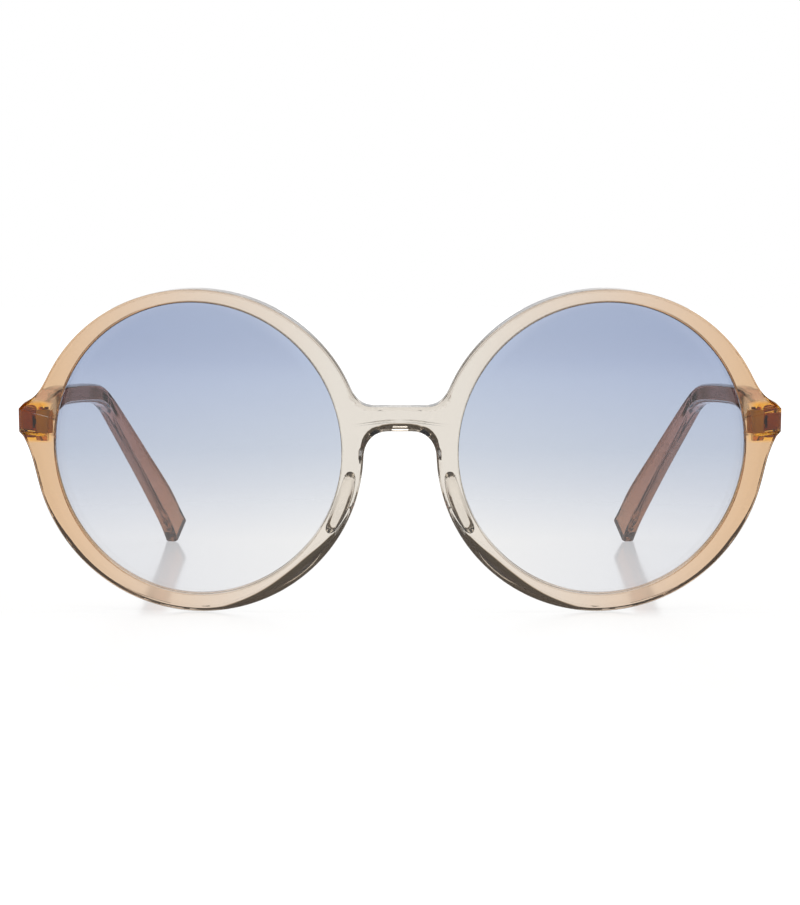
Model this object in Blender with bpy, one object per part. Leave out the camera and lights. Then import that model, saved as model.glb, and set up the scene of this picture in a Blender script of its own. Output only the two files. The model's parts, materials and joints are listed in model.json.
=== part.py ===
"""Round acetate sunglasses, standing open on their rims and temple tips.

The front is a flat outline with two lens openings, bent to a base curve and leaned forward.
Each temple turns on a five-barrel hinge whose axis is upright. Lengths are in metres, +Z is up,
-Y is the way the lenses face, and left and right are as seen from in front.
"""

import math

import bmesh
import bpy
from mathutils import Vector

# Front, measured along its outline before it is bent
BASE_CURVE_RADIUS = 0.230
FRONT_LEAN = math.radians(5)
FRONT_THICKNESS = 0.0040
OPENING_RADIUS = 0.02775
RIM_TOP_WIDTH = 0.0026
RIM_BOTTOM_WIDTH = 0.0032
RIM_SIDE_WIDTH = 0.0041
EDGE_ROUND = 0.0008
OPENING_ROUND = 0.0004

# Bridge, and the hollow on the nose side of the rims
BRIDGE_WIDTH = 0.0137
BRIDGE_TOP = 0.0085
BRIDGE_DEPTH = 0.00455
BRIDGE_TOP_FLAT = 0.0046
BRIDGE_ARCH_FLAT = 0.0022
NOSE_RELIEF = 0.0018
LENS_OFFSET = OPENING_RADIUS + RIM_SIDE_WIDTH + BRIDGE_WIDTH / 2

# End blocks, which stand past the rims and carry the hinges
END_PROUD = 0.0035
END_RAISE = 0.0044
END_FLAT = 0.0044
END_CHAMFER = 0.00095
END_DEPTH = 0.0047
END_LUG_START = 0.0016
END_LUG_HALF = 0.0037
END_REACH = OPENING_RADIUS + RIM_SIDE_WIDTH + END_PROUD

# Lens with its bevelled edge, and the groove that holds it in the middle of the front
LENS_THICKNESS = 0.0018
LENS_DOME = 0.0012
LENS_BEVEL_SHARE = 0.62
LENS_BEVEL_DEPTH = 0.00068
LENS_FIT = 0.00012
LENS_BEVEL_HALF = LENS_THICKNESS / 2 * LENS_BEVEL_SHARE
GROOVE_HALF = LENS_BEVEL_HALF + LENS_FIT
GROOVE_DEPTH = LENS_BEVEL_DEPTH + LENS_FIT
GROOVE_SET_BACK = FRONT_THICKNESS / 2

# Nose pads, bonded behind the rims
PAD_DEPTH = 0.0046
PAD_INSET = 0.0011
PAD_GLUE = 0.00005
PAD_FULLNESS = 0.6
PAD_LEAST_SWELL_SHARE = 0.12
PAD_LEAST_WIDTH_SHARE = 0.42

# Hinge: three barrels on the front leaf, two on the temple leaf, and one screw
HINGE_DROP = 0.0005
BARREL_COUNT = 5
BARREL_HEIGHT = 0.00085
BARREL_GAP = 0.0001
BARREL_RADIUS = 0.0012
BARREL_CLEARANCE = 0.0002
LEAF_THICKNESS = 0.0009
LEAF_FIT = 0.0001
FRONT_LEAF_LENGTH = 0.0030
FRONT_LEAF_INBOARD = 0.0014
TEMPLE_LEAF_LENGTH = 0.0070
TEMPLE_LEAF_HEIGHT = 0.0036
LEAF_CORNER = 0.0006
SCREW_RADIUS = 0.0006
SCREW_FIT = 0.00005
SCREW_HEAD_RADIUS = 0.0010
SCREW_HEAD_HEIGHT = 0.0005
SCREW_HEAD_GAP = 0.00003
SCREW_SLOT_WIDTH = 0.0003
SCREW_SLOT_DEPTH = 0.00025

# Temples, with a gap to the end block, a slim arm and a deep rounded tip
SEAT_GAP = 0.0003
TEMPLE_THICKNESS = 0.0038
TEMPLE_FRONT_HEIGHT = 0.0063
TEMPLE_SLIM_HEIGHT = 0.0037
TIP_HEIGHT = 0.0077
TIP_THICKNESS = 0.0029
TEMPLE_REACH = 0.0956
TEMPLE_RISE = 0.0029
TEMPLE_INSET = 0.0052
TIP_REACH = 0.0272
TIP_INSET = 0.0122
TEMPLE_EDGE = 0.0008
TEMPLE_EDGE_LIMIT_SHARE = 0.33
TIP_NOSE = 0.0032

# How far cutters run past what they cut, and the distance within which points are one
CUT_OVERRUN = 0.0010
MERGE_GAP = 0.000001

# Angles of the front's outline about a lens centre, and of the hollow's run, in degrees
BRIDGE_BLEND_DEGREES = 23.0
ARCH_BLEND_DEGREES = -2.0
END_BLEND_TOP_DEGREES = 151.0
END_BLEND_BOTTOM_DEGREES = -165.0
END_FLARE_TOP = math.radians(26)
END_FLARE_BOTTOM = math.radians(62)
PAD_START_DEGREES = -8.0
PAD_END_DEGREES = -33.0
RELIEF_FULL_DEGREES = -48.0
RELIEF_END_DEGREES = -84.0

# Counts
RIM_STEPS = 62
BLEND_STEPS = 6
BRIDGE_STEPS = 4
LENS_SEGMENTS = 48
PAD_STEPS = 10
TEMPLE_STEPS = 36
TIP_NOSE_STEPS = 5
CORNER_STEPS = 2
CORNER_SEGMENTS = 3
SETTLE_STEPS = 6
ROUND_SEGMENTS = 16

# Where the lens rings stand, as shares of the lens radius
LENS_RING_SHARES = (0.36, 0.70)

# How far along its handle a blend leaves and meets the outline
BLEND_HANDLE_SHARE = 0.42

# Nose pad section: across the rim towards the nose, then back from the rim
PAD_SECTION_SHARES = (
    (0.00, 0.00), (1.00, 0.00), (1.00, 0.30), (0.80, 0.66),
    (0.46, 0.92), (0.12, 1.00), (-0.12, 0.84), (-0.08, 0.40),
)

# Roundness of a bevelled plate corner, where one half is a true arc
ARC_SHARE = 0.5

# Widest that an edge's rounding may grow, as a share of the wall behind it
ROUND_ROOM_SHARE = 0.80

# Sharpest that the outline's corners are mitred, as a share of a straight run
MITRE_SHARE = 0.5

# How far along its line a temple stays flat and of one thickness, where the hinge leaf is sunk
TEMPLE_FLAT_SHARE = 1 / 6

# Line of a temple from the seat to the bend: share of the reach, of the rise and of the inset
ARM_LINE_SHARES = (
    (0.000, 0.00, 0.00), (0.080, 0.03, 0.00), (0.165, 0.23, 0.00), (0.265, 0.62, 0.00),
    (0.380, 1.00, 0.09), (0.560, 0.90, 0.24), (0.745, 0.66, 0.42), (0.865, 0.36, 0.60),
    (0.940, -0.25, 0.77), (1.000, -1.31, 1.00),
)
# From the bend to the tip: share of the tip's reach, of its drop and of its inset
DROP_LINE_SHARES = ((0.37, 0.40, 0.46), (0.70, 0.74, 0.84), (1.00, 1.00, 1.00))
# At the same points, how far the height has gone from front to slim, and from slim to tip
SLIM_SHARES = (0.00, 0.05, 0.25, 0.55, 0.78, 0.80, 0.80, 0.86, 0.95, 1.00, 1.00, 1.00, 1.00)
TIP_SHARES = (0.00, 0.00, 0.00, 0.00, 0.00, 0.00, 0.00, 0.00, 0.00, 0.00, 0.05, 0.65, 1.00)


def clear_scene():
    for item in list(bpy.data.objects):
        bpy.data.objects.remove(item, do_unlink=True)


def make_material(name, colour, roughness, metallic=0.0, alpha=1.0):
    material = bpy.data.materials.new(name)
    material.use_nodes = True
    shader = material.node_tree.nodes["Principled BSDF"]
    shader.inputs["Base Color"].default_value = (*colour, 1.0)
    shader.inputs["Roughness"].default_value = roughness
    shader.inputs["Metallic"].default_value = metallic
    shader.inputs["Alpha"].default_value = alpha
    return material


def acetate_material(name):
    return make_material(name, (0.78, 0.56, 0.38), 0.12)


def lens_material(name):
    return make_material(name, (0.50, 0.58, 0.74), 0.03, alpha=0.6)


def pad_material(name):
    return make_material(name, (0.80, 0.76, 0.68), 0.15)


def steel_material(name):
    return make_material(name, (0.72, 0.60, 0.42), 0.28, metallic=1.0)


def add_object(name, mesh, material, parent, location=(0, 0, 0)):
    item = bpy.data.objects.new(name, mesh)
    bpy.context.scene.collection.objects.link(item)
    if material is not None:
        mesh.materials.append(material)
    item.parent = parent
    item.location = location
    return item


def add_empty(name, location, parent=None):
    item = bpy.data.objects.new(name, None)
    bpy.context.scene.collection.objects.link(item)
    item.parent = parent
    item.location = location
    return item


def mesh_from(shape, name, sharp_degrees=32):
    """Faces out, and smooth except along the sharp edges."""
    bmesh.ops.recalc_face_normals(shape, faces=shape.faces)
    mesh = bpy.data.meshes.new(name)
    shape.to_mesh(mesh)
    shape.free()
    mesh.shade_smooth()
    mesh.set_sharp_from_angle(angle=math.radians(sharp_degrees))
    return mesh


def skinned(shape, rows):
    """Faces between neighbouring closed rows of the same number of vertices."""
    for first, second in zip(rows, rows[1:]):
        for k in range(len(first)):
            following = (k + 1) % len(first)
            shape.faces.new((first[k], first[following], second[following], second[k]))


def lofted(rings):
    """A closed skin over rings that all have the same number of points."""
    shape = bmesh.new()
    rows = [[shape.verts.new(point) for point in ring] for ring in rings]
    skinned(shape, rows)
    shape.faces.new(rows[0])
    shape.faces.new(rows[-1])
    return shape


def box_shape(low, high):
    shape = bmesh.new()
    bmesh.ops.create_cube(shape, size=1)
    size = high - low
    bmesh.ops.scale(shape, vec=size, verts=shape.verts)
    bmesh.ops.translate(shape, vec=(low + high) / 2, verts=shape.verts)
    return shape


def add_helper(name, shape, parent):
    """A cutter or an added body, which isn't a piece of its own."""
    item = add_object(name, mesh_from(shape, name), None, parent)
    item.hide_render = True
    item.display_type = "WIRE"
    return item


def add_boolean(item, other, operation):
    modifier = item.modifiers.new(operation.title(), "BOOLEAN")
    modifier.operation = operation
    modifier.solver = "EXACT"
    modifier.object = other


def wrapped(across, up, back):
    """A point of the flat front, bent round the base curve and leaned forward."""
    angle = across / BASE_CURVE_RADIUS
    reach = BASE_CURVE_RADIUS - back
    depth = BASE_CURVE_RADIUS - reach * math.cos(angle)
    lean_cos, lean_sin = math.cos(FRONT_LEAN), math.sin(FRONT_LEAN)
    return Vector((
        reach * math.sin(angle),
        depth * lean_cos - up * lean_sin,
        depth * lean_sin + up * lean_cos,
    ))


def rim_point(degrees):
    """Outer edge of the left rim at an angle about its lens centre, with its way round and out."""
    turn = math.radians(degrees)
    wide = OPENING_RADIUS + RIM_SIDE_WIDTH
    tall = OPENING_RADIUS + (RIM_TOP_WIDTH if math.sin(turn) > 0 else RIM_BOTTOM_WIDTH)
    point = Vector((wide * math.cos(turn) - LENS_OFFSET, tall * math.sin(turn)))
    onward = Vector((wide * math.sin(turn), -tall * math.cos(turn))).normalized()
    return point, onward


def blend(start, start_way, end, end_way):
    """A smooth curve between two stretches of the outline, without its end points."""
    handle = (end - start).length * BLEND_HANDLE_SHARE
    near, far = start + start_way * handle, end - end_way * handle
    points = []
    for step in range(1, BLEND_STEPS):
        t = step / BLEND_STEPS
        s = 1 - t
        points.append(start * s**3 + near * 3 * s * s * t + far * 3 * s * t * t + end * t**3)
    return points


def rim_arc(first, last):
    """Rim points from one angle to another, clockwise as seen from in front."""
    count = max(2, round(RIM_STEPS * (first - last) / 360))
    return [rim_point(first + (last - first) * k / count)[0] for k in range(count + 1)]


def end_corners():
    """Corners of the left end block's outline, from the bottom up."""
    edge = -LENS_OFFSET - END_REACH
    low, high = END_RAISE - END_FLAT / 2, END_RAISE + END_FLAT / 2
    return [
        Vector((edge + END_CHAMFER, low - END_CHAMFER)),
        Vector((edge, low)),
        Vector((edge, high)),
        Vector((edge + END_CHAMFER, high + END_CHAMFER)),
    ]


def half_outline():
    """The left half's outer outline, from under the bridge round the rim to its top."""
    arch, down = Vector((-BRIDGE_ARCH_FLAT, BRIDGE_TOP - BRIDGE_DEPTH)), rim_point(ARCH_BLEND_DEGREES)
    top, crest = Vector((-BRIDGE_TOP_FLAT, BRIDGE_TOP)), rim_point(BRIDGE_BLEND_DEGREES)
    low, high = rim_point(END_BLEND_BOTTOM_DEGREES), rim_point(END_BLEND_TOP_DEGREES)
    corners = end_corners()
    outward = Vector((-math.cos(END_FLARE_BOTTOM), math.sin(END_FLARE_BOTTOM)))
    inward = Vector((math.cos(END_FLARE_TOP), math.sin(END_FLARE_TOP)))
    points = [Vector((0, arch.y)), arch]
    points += blend(arch, Vector((-1, 0)), *down)
    points += rim_arc(ARCH_BLEND_DEGREES, END_BLEND_BOTTOM_DEGREES)
    points += blend(*low, corners[0], outward)
    points += corners
    points += blend(corners[-1], inward, *high)
    points += rim_arc(END_BLEND_TOP_DEGREES, BRIDGE_BLEND_DEGREES)
    points += blend(*crest, top, Vector((1, 0)))
    points += [top, Vector((0, top.y))]
    return points


def outward_normals(points):
    normals = []
    for k, point in enumerate(points):
        before = points[k - 1] if k else Vector((-points[1].x, points[1].y))
        after = points[k + 1] if k + 1 < len(points) else Vector((-points[-2].x, points[-2].y))
        first, second = (point - before).normalized(), (after - point).normalized()
        way = (first + second).normalized()
        normals.append(Vector((-way.y, way.x)) / max(MITRE_SHARE, way.dot(first)))
    return normals


def from_lens_centre(point):
    """Angle in degrees of an outline point about the left lens centre."""
    return math.degrees(math.atan2(point.y, point.x + LENS_OFFSET))


def back_edge(degrees):
    """Width of the rounded back edge: the wide hollow of the nose side, but not under a pad."""
    if degrees > PAD_START_DEGREES:
        return NOSE_RELIEF if degrees < BRIDGE_BLEND_DEGREES / 2 else EDGE_ROUND
    if degrees > PAD_END_DEGREES:
        return EDGE_ROUND
    if degrees > RELIEF_FULL_DEGREES:
        return NOSE_RELIEF
    fade = (degrees - RELIEF_END_DEGREES) / (RELIEF_FULL_DEGREES - RELIEF_END_DEGREES)
    return EDGE_ROUND + (NOSE_RELIEF - EDGE_ROUND) * min(1.0, max(0.0, fade))


def seat_depth():
    """How far back the flat seat of the end block lies, before the front is stood up."""
    end = end_corners()
    middle = (end[1] + end[2]) / 2
    return wrapped(middle.x, middle.y, 0).y + END_DEPTH


def squared(point, back):
    """A point of the outer wall. Past the rim the wall runs straight back, not round the curve."""
    past = (abs(point.x + LENS_OFFSET) - OPENING_RADIUS - RIM_SIDE_WIDTH)
    share = min(1.0, max(0.0, past / (END_REACH - OPENING_RADIUS - RIM_SIDE_WIDTH)))
    front_x = BASE_CURVE_RADIUS * math.sin(point.x / BASE_CURVE_RADIUS)
    straight = BASE_CURVE_RADIUS * math.asin(front_x / (BASE_CURVE_RADIUS - back))
    return wrapped(point.x + (straight - point.x) * share, point.y, back)


def opening_part(way):
    """Section of the rim's inner wall, with the groove that holds the lens, from front to back."""
    centre = Vector((-LENS_OFFSET, 0))
    inner = centre + way * OPENING_RADIUS
    steps = (
        (OPENING_ROUND, 0),
        (0, OPENING_ROUND),
        (0, GROOVE_SET_BACK - GROOVE_HALF),
        (GROOVE_DEPTH, GROOVE_SET_BACK),
        (0, GROOVE_SET_BACK + GROOVE_HALF),
        (0, FRONT_THICKNESS - OPENING_ROUND),
        (OPENING_ROUND, FRONT_THICKNESS),
    )
    return [wrapped(*(inner + way * out), back) for out, back in steps]


def rounded_edge(point, normal, width):
    """Outline points and depths of an edge rounded to a width, from the wall in to the face."""
    room = (point - Vector((-LENS_OFFSET, 0))).length - OPENING_RADIUS - OPENING_ROUND
    width = min(width, room * ROUND_ROOM_SHARE)
    bulge = width * (1 - math.sqrt(0.5))
    return ((point, width), (point - normal * bulge, bulge), (point - normal * width, 0))


def opening_angles(points):
    """Where each section meets the lens opening, in degrees and always falling along the outline."""
    angles = [from_lens_centre(point) for point in points]
    rim_start = BLEND_STEPS + 1
    middle = from_lens_centre(Vector((0, BRIDGE_TOP - BRIDGE_DEPTH + NOSE_RELIEF)))
    for k in range(rim_start):
        angles[k] = middle + (angles[rim_start] - middle) * k / rim_start
    return angles


def rim_section(point, normal, degrees):
    """Closed section through the front at one point of its outline."""
    turn = math.radians(degrees)
    way = Vector((math.cos(turn), math.sin(turn)))
    section = [squared(place, back) for place, back in rounded_edge(point, normal, EDGE_ROUND)]
    section += opening_part(way)
    inner = Vector((-LENS_OFFSET, 0)) + way * (OPENING_RADIUS + END_LUG_START)
    lug_height = way.y * (OPENING_RADIUS + END_LUG_START)
    if way.x < 0 and abs(lug_height - END_RAISE) < END_LUG_HALF:
        foot = wrapped(*inner, FRONT_THICKNESS)
        section += [foot, Vector((foot.x, seat_depth(), foot.z))]
        for place, back in reversed(rounded_edge(point, normal, EDGE_ROUND)):
            wall = squared(place, FRONT_THICKNESS)
            section.append(Vector((wall.x, seat_depth() - back, wall.z)))
        return section
    edge = rounded_edge(point, normal, back_edge(degrees))
    for share in (1 / 3, 2 / 3):
        place = inner.lerp(edge[-1][0], share) - way * END_LUG_START * (1 - share)
        section.append(wrapped(*place, FRONT_THICKNESS))
    section += [squared(place, FRONT_THICKNESS - back) for place, back in reversed(edge)]
    return section


def bridge_section(up):
    """Open section from the middle of the bridge to the lens opening and back."""
    way = Vector((LENS_OFFSET, up)).normalized()
    section = [wrapped(0, up, 0)] + opening_part(way)
    inner = Vector((-LENS_OFFSET, 0)) + way * (OPENING_RADIUS + OPENING_ROUND)
    for share in (1 / 3, 2 / 3, 1):
        section.append(wrapped(*inner.lerp(Vector((0, up)), share), FRONT_THICKNESS))
    return section


def front_sections():
    points = half_outline()
    stations = zip(points, outward_normals(points), opening_angles(points))
    return [rim_section(*station) for station in stations]


def ground_lift():
    """How far the front is raised so that the rims stand on the ground."""
    return -min(point.z for section in front_sections() for point in section)


def front_shape():
    """Left half of the front, open where it meets its mirror image."""
    shape = bmesh.new()
    rows = [[shape.verts.new(point) for point in section] for section in front_sections()]
    skinned(shape, rows)
    low, high = BRIDGE_TOP - BRIDGE_DEPTH + NOSE_RELIEF, BRIDGE_TOP - EDGE_ROUND
    inner_rows = [rows[-1][2:-2]]
    for step in range(1, BRIDGE_STEPS):
        up = high + (low - high) * step / BRIDGE_STEPS
        inner_rows.append([shape.verts.new(point) for point in bridge_section(up)])
    inner_rows.append(rows[0][2:-2])
    for first, second in zip(inner_rows, inner_rows[1:]):
        for k in range(len(first) - 1):
            shape.faces.new((first[k], first[k + 1], second[k + 1], second[k]))
    return shape


def hinge_place():
    """Middle of the left hinge's axis, before the front is stood up."""
    end = end_corners()
    middle = (end[1] + end[2]) / 2
    outer = squared(middle, FRONT_THICKNESS)
    return Vector((
        outer.x + TEMPLE_THICKNESS + BARREL_CLEARANCE + BARREL_RADIUS,
        seat_depth() + BARREL_CLEARANCE + BARREL_RADIUS,
        outer.z - HINGE_DROP,
    ))


def stack_half():
    """Half the height of the barrels and the gaps between them."""
    return (BARREL_COUNT * BARREL_HEIGHT + (BARREL_COUNT - 1) * BARREL_GAP) / 2


def front_leaf_box(fit):
    """Corners of the front leaf's plate about the hinge axis, or of its pocket."""
    back = -BARREL_CLEARANCE - BARREL_RADIUS
    outboard = FRONT_LEAF_INBOARD - FRONT_LEAF_LENGTH
    low = Vector((outboard - fit, back - LEAF_THICKNESS - fit, -stack_half() - fit))
    high = Vector((FRONT_LEAF_INBOARD + fit, back + (CUT_OVERRUN if fit else 0), stack_half() + fit))
    return low, high


def temple_leaf_box(fit):
    """Corners of the temple leaf's plate about the hinge axis, or of its pocket."""
    face = -BARREL_CLEARANCE - BARREL_RADIUS
    start = face + SEAT_GAP
    half = TEMPLE_LEAF_HEIGHT / 2
    low = Vector((face - LEAF_THICKNESS - fit, start - (CUT_OVERRUN if fit else 0), -half - fit))
    high = Vector((face + (CUT_OVERRUN if fit else 0), start + TEMPLE_LEAF_LENGTH + fit, half + fit))
    return low, high


def sided(shape, side):
    """The shape as modelled for the left, or mirrored for the right."""
    bmesh.ops.scale(shape, vec=(-side, 1, 1), verts=shape.verts)
    return shape


def rounded_plate(box, axis):
    """A flat plate whose corners are rounded across the given axis."""
    shape = box_shape(*box)
    along = [
        edge for edge in shape.edges
        if abs(edge.verts[0].co[axis] - edge.verts[1].co[axis]) > MERGE_GAP
    ]
    bmesh.ops.bevel(shape, geom=along, offset=LEAF_CORNER, segments=CORNER_SEGMENTS,
                     profile=ARC_SHARE, affect="EDGES")
    return shape


def barrel_shape(reach_way, reach, levels):
    """Barrels at the given levels of the stack, each with a neck that reaches to its plate."""
    shape = bmesh.new()
    pitch = BARREL_HEIGHT + BARREL_GAP
    across = Vector((-reach_way.y, reach_way.x, 0))
    for level in levels:
        bottom = level * pitch - stack_half()
        outline = []
        for k in range(ROUND_SEGMENTS + 1):
            turn = math.pi * k / ROUND_SEGMENTS
            outline.append((across * math.cos(turn) - reach_way * math.sin(turn)) * BARREL_RADIUS)
        outline.append(-across * BARREL_RADIUS + reach_way * reach)
        outline.append(across * BARREL_RADIUS + reach_way * reach)
        base = shape.faces.new([shape.verts.new(p + Vector((0, 0, bottom))) for p in outline])
        raised = bmesh.ops.extrude_face_region(shape, geom=[base])["geom"]
        moved = [part for part in raised if isinstance(part, bmesh.types.BMVert)]
        bmesh.ops.translate(shape, vec=(0, 0, BARREL_HEIGHT), verts=moved)
    return shape


def cylinder_shape(radius, bottom, top):
    shape = bmesh.new()
    bmesh.ops.create_cone(
        shape, cap_ends=True, segments=ROUND_SEGMENTS, radius1=radius, radius2=radius,
        depth=top - bottom,
    )
    bmesh.ops.translate(shape, vec=(0, 0, (top + bottom) / 2), verts=shape.verts)
    return shape


def make_front(root):
    item = add_object("frame_front", mesh_from(front_shape(), "frame_front"),
                      acetate_material("front_acetate"), root)
    mirror = item.modifiers.new("Mirror", "MIRROR")
    mirror.use_axis = (True, False, False)
    mirror.merge_threshold = MERGE_GAP
    for side in (-1, 1):
        shape = sided(box_shape(*front_leaf_box(LEAF_FIT)), side)
        place = hinge_place()
        bmesh.ops.translate(shape, vec=(-side * place.x, place.y, place.z), verts=shape.verts)
        add_boolean(item, add_helper(f"leaf_pocket_{side}", shape, root), "DIFFERENCE")
    return item


def lens_profile():
    """Half section of a lens: distance from its centre, then back from the front's face."""
    edge = OPENING_RADIUS - LENS_FIT
    half = LENS_THICKNESS / 2
    radii = [edge * share for share in LENS_RING_SHARES]
    front = [(0, GROOVE_SET_BACK - half - LENS_DOME)]
    back = [(0, GROOVE_SET_BACK + half - LENS_DOME)]
    for radius in radii:
        dome = LENS_DOME * (1 - (radius / edge) ** 2)
        front.append((radius, GROOVE_SET_BACK - half - dome))
        back.append((radius, GROOVE_SET_BACK + half - dome))
    rim = [
        (edge, GROOVE_SET_BACK - half),
        (edge, GROOVE_SET_BACK - LENS_BEVEL_HALF),
        (edge + GROOVE_DEPTH, GROOVE_SET_BACK),
        (edge, GROOVE_SET_BACK + LENS_BEVEL_HALF),
        (edge, GROOVE_SET_BACK + half),
    ]
    return front + rim + back[::-1]


def lens_shape():
    profile = lens_profile()
    shape = bmesh.new()
    poles = [shape.verts.new(wrapped(-LENS_OFFSET, 0, profile[k][1])) for k in (0, -1)]
    rows = []
    for k in range(LENS_SEGMENTS):
        turn = 2 * math.pi * k / LENS_SEGMENTS
        way = Vector((math.cos(turn), math.sin(turn)))
        rows.append([
            shape.verts.new(wrapped(way.x * radius - LENS_OFFSET, way.y * radius, back))
            for radius, back in profile[1:-1]
        ])
    for k, row in enumerate(rows):
        following = rows[(k + 1) % LENS_SEGMENTS]
        shape.faces.new((poles[0], row[0], following[0]))
        shape.faces.new((poles[1], following[-1], row[-1]))
        for j in range(len(row) - 1):
            shape.faces.new((row[j], row[j + 1], following[j + 1], following[j]))
    return shape


def make_lens(name, side, root):
    mesh = mesh_from(sided(lens_shape(), side), name)
    return add_object(name, mesh, lens_material(f"{name}_tint"), root)


def pad_shape():
    """A pad that swells back from the rim along the nose side and fades at both ends."""
    rings = []
    for step in range(PAD_STEPS + 1):
        share = step / PAD_STEPS
        swell = max(PAD_LEAST_SWELL_SHARE, math.sin(math.pi * share) ** PAD_FULLNESS)
        width_share = PAD_LEAST_WIDTH_SHARE + (1 - PAD_LEAST_WIDTH_SHARE) * swell
        point, _ = rim_point(PAD_START_DEGREES + (PAD_END_DEGREES - PAD_START_DEGREES) * share)
        way = Vector((point.x + LENS_OFFSET, point.y))
        outer = way.length - EDGE_ROUND
        inner = OPENING_RADIUS + PAD_INSET
        way.normalize()
        middle, half = (outer + inner) / 2, (outer - inner) / 2 * width_share
        ring = []
        for across, back in PAD_SECTION_SHARES:
            radius = middle + half * (2 * across - 1)
            depth = FRONT_THICKNESS + PAD_GLUE + PAD_DEPTH * swell * back
            ring.append(wrapped(way.x * radius - LENS_OFFSET, way.y * radius, depth))
        rings.append(ring)
    return lofted(rings)


def make_pad(name, side, root):
    mesh = mesh_from(sided(pad_shape(), side), name, sharp_degrees=60)
    return add_object(name, mesh, pad_material(f"{name}_acetate"), root)


def make_front_leaf(name, side, axis):
    plate = mesh_from(sided(rounded_plate(front_leaf_box(0), 1), side), name)
    item = add_object(name, plate, steel_material(f"{name}_steel"), axis)
    reach = BARREL_CLEARANCE + BARREL_RADIUS + LEAF_THICKNESS / 2
    levels = range(0, BARREL_COUNT, 2)
    barrels = sided(barrel_shape(Vector((0, -1, 0)), reach, levels), side)
    add_boolean(item, add_helper(f"{name}_barrels", barrels, axis), "UNION")
    add_boolean(item, add_helper(f"{name}_bore", bore_shape(), axis), "DIFFERENCE")
    return item


def make_temple_leaf(name, side, axis):
    plate = mesh_from(sided(rounded_plate(temple_leaf_box(0), 0), side), name)
    item = add_object(name, plate, steel_material(f"{name}_steel"), axis)
    reach = BARREL_CLEARANCE + BARREL_RADIUS + LEAF_THICKNESS / 2
    levels = range(1, BARREL_COUNT, 2)
    barrels = sided(barrel_shape(Vector((-1, 0, 0)), reach, levels), side)
    add_boolean(item, add_helper(f"{name}_barrels", barrels, axis), "UNION")
    add_boolean(item, add_helper(f"{name}_bore", bore_shape(), axis), "DIFFERENCE")
    return item


def bore_shape():
    end = stack_half() + CUT_OVERRUN
    return cylinder_shape(SCREW_RADIUS + SCREW_FIT, -end, end)


def make_screw(name, axis):
    """A turned screw with a slotted head on the top barrel."""
    low, top = -stack_half(), stack_half() + SCREW_HEAD_GAP
    profile = (
        (0, low), (SCREW_RADIUS, low), (SCREW_RADIUS, top),
        (SCREW_HEAD_RADIUS, top), (SCREW_HEAD_RADIUS, top + SCREW_HEAD_HEIGHT),
        (0, top + SCREW_HEAD_HEIGHT),
    )
    shape = bmesh.new()
    line = [shape.verts.new((radius, 0, height)) for radius, height in profile]
    edges = [shape.edges.new(pair) for pair in zip(line, line[1:])]
    bmesh.ops.spin(
        shape, geom=line + edges, cent=(0, 0, 0), axis=(0, 0, 1), angle=2 * math.pi,
        steps=ROUND_SEGMENTS, use_merge=True, use_duplicate=False,
    )
    bmesh.ops.remove_doubles(shape, verts=shape.verts, dist=MERGE_GAP)
    item = add_object(name, mesh_from(shape, name), steel_material(f"{name}_steel"), axis)
    head_top = top + SCREW_HEAD_HEIGHT
    half = SCREW_SLOT_WIDTH / 2
    reach = SCREW_HEAD_RADIUS + CUT_OVERRUN
    low_corner = Vector((-half, -reach, head_top - SCREW_SLOT_DEPTH))
    slot = box_shape(low_corner, Vector((half, reach, head_top + CUT_OVERRUN)))
    add_boolean(item, add_helper(f"{name}_slot", slot, axis), "DIFFERENCE")
    return item


def curve_through(values, share):
    """A smooth curve through evenly numbered values, read at a share of its run."""
    place = share * (len(values) - 1)
    k = min(int(place), len(values) - 2)
    t = place - k
    here, following = values[k], values[k + 1]
    before = values[k - 1] if k else here * 2 - following
    after = values[k + 2] if k + 2 < len(values) else following * 2 - here
    return (
        here * 2 + (following - before) * t
        + (before * 2 - here * 5 + following * 4 - after) * t * t
        + (here * 3 - before - following * 3 + after) * t**3
    ) / 2


def temple_line(tip_height):
    """Points on the left temple's middle line, about the hinge axis."""
    inner = -BARREL_CLEARANCE - BARREL_RADIUS - TEMPLE_THICKNESS / 2
    start = Vector((inner, -BARREL_CLEARANCE - BARREL_RADIUS + SEAT_GAP, 0))
    points = []
    for along, rise, inset in ARM_LINE_SHARES:
        points.append(start + Vector((inset * TEMPLE_INSET, along * TEMPLE_REACH, rise * TEMPLE_RISE)))
    bend = points[-1]
    for along, drop, inset in DROP_LINE_SHARES:
        fall = drop * (tip_height - bend.z)
        points.append(bend + Vector((inset * TIP_INSET, along * TIP_REACH, fall)))
    return points


def temple_ring(middle, way, height, thickness):
    """A rounded rectangle square to the temple's line."""
    inboard = Vector((way.y, -way.x, 0)).normalized()
    upward = inboard.cross(way).normalized()
    edge = min(TEMPLE_EDGE, min(thickness, height) * TEMPLE_EDGE_LIMIT_SHARE)
    ring = []
    for side, lift in ((1, 1), (-1, 1), (-1, -1), (1, -1)):
        corner = Vector((side * (thickness / 2 - edge), lift * (height / 2 - edge)))
        swing = math.atan2(lift, side) - math.pi / 4
        for step in range(CORNER_STEPS + 1):
            turn = swing + step / CORNER_STEPS * math.pi / 2
            across = corner.x + edge * math.cos(turn)
            up = corner.y + edge * math.sin(turn)
            ring.append(middle + inboard * across + upward * up)
    return ring


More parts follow.
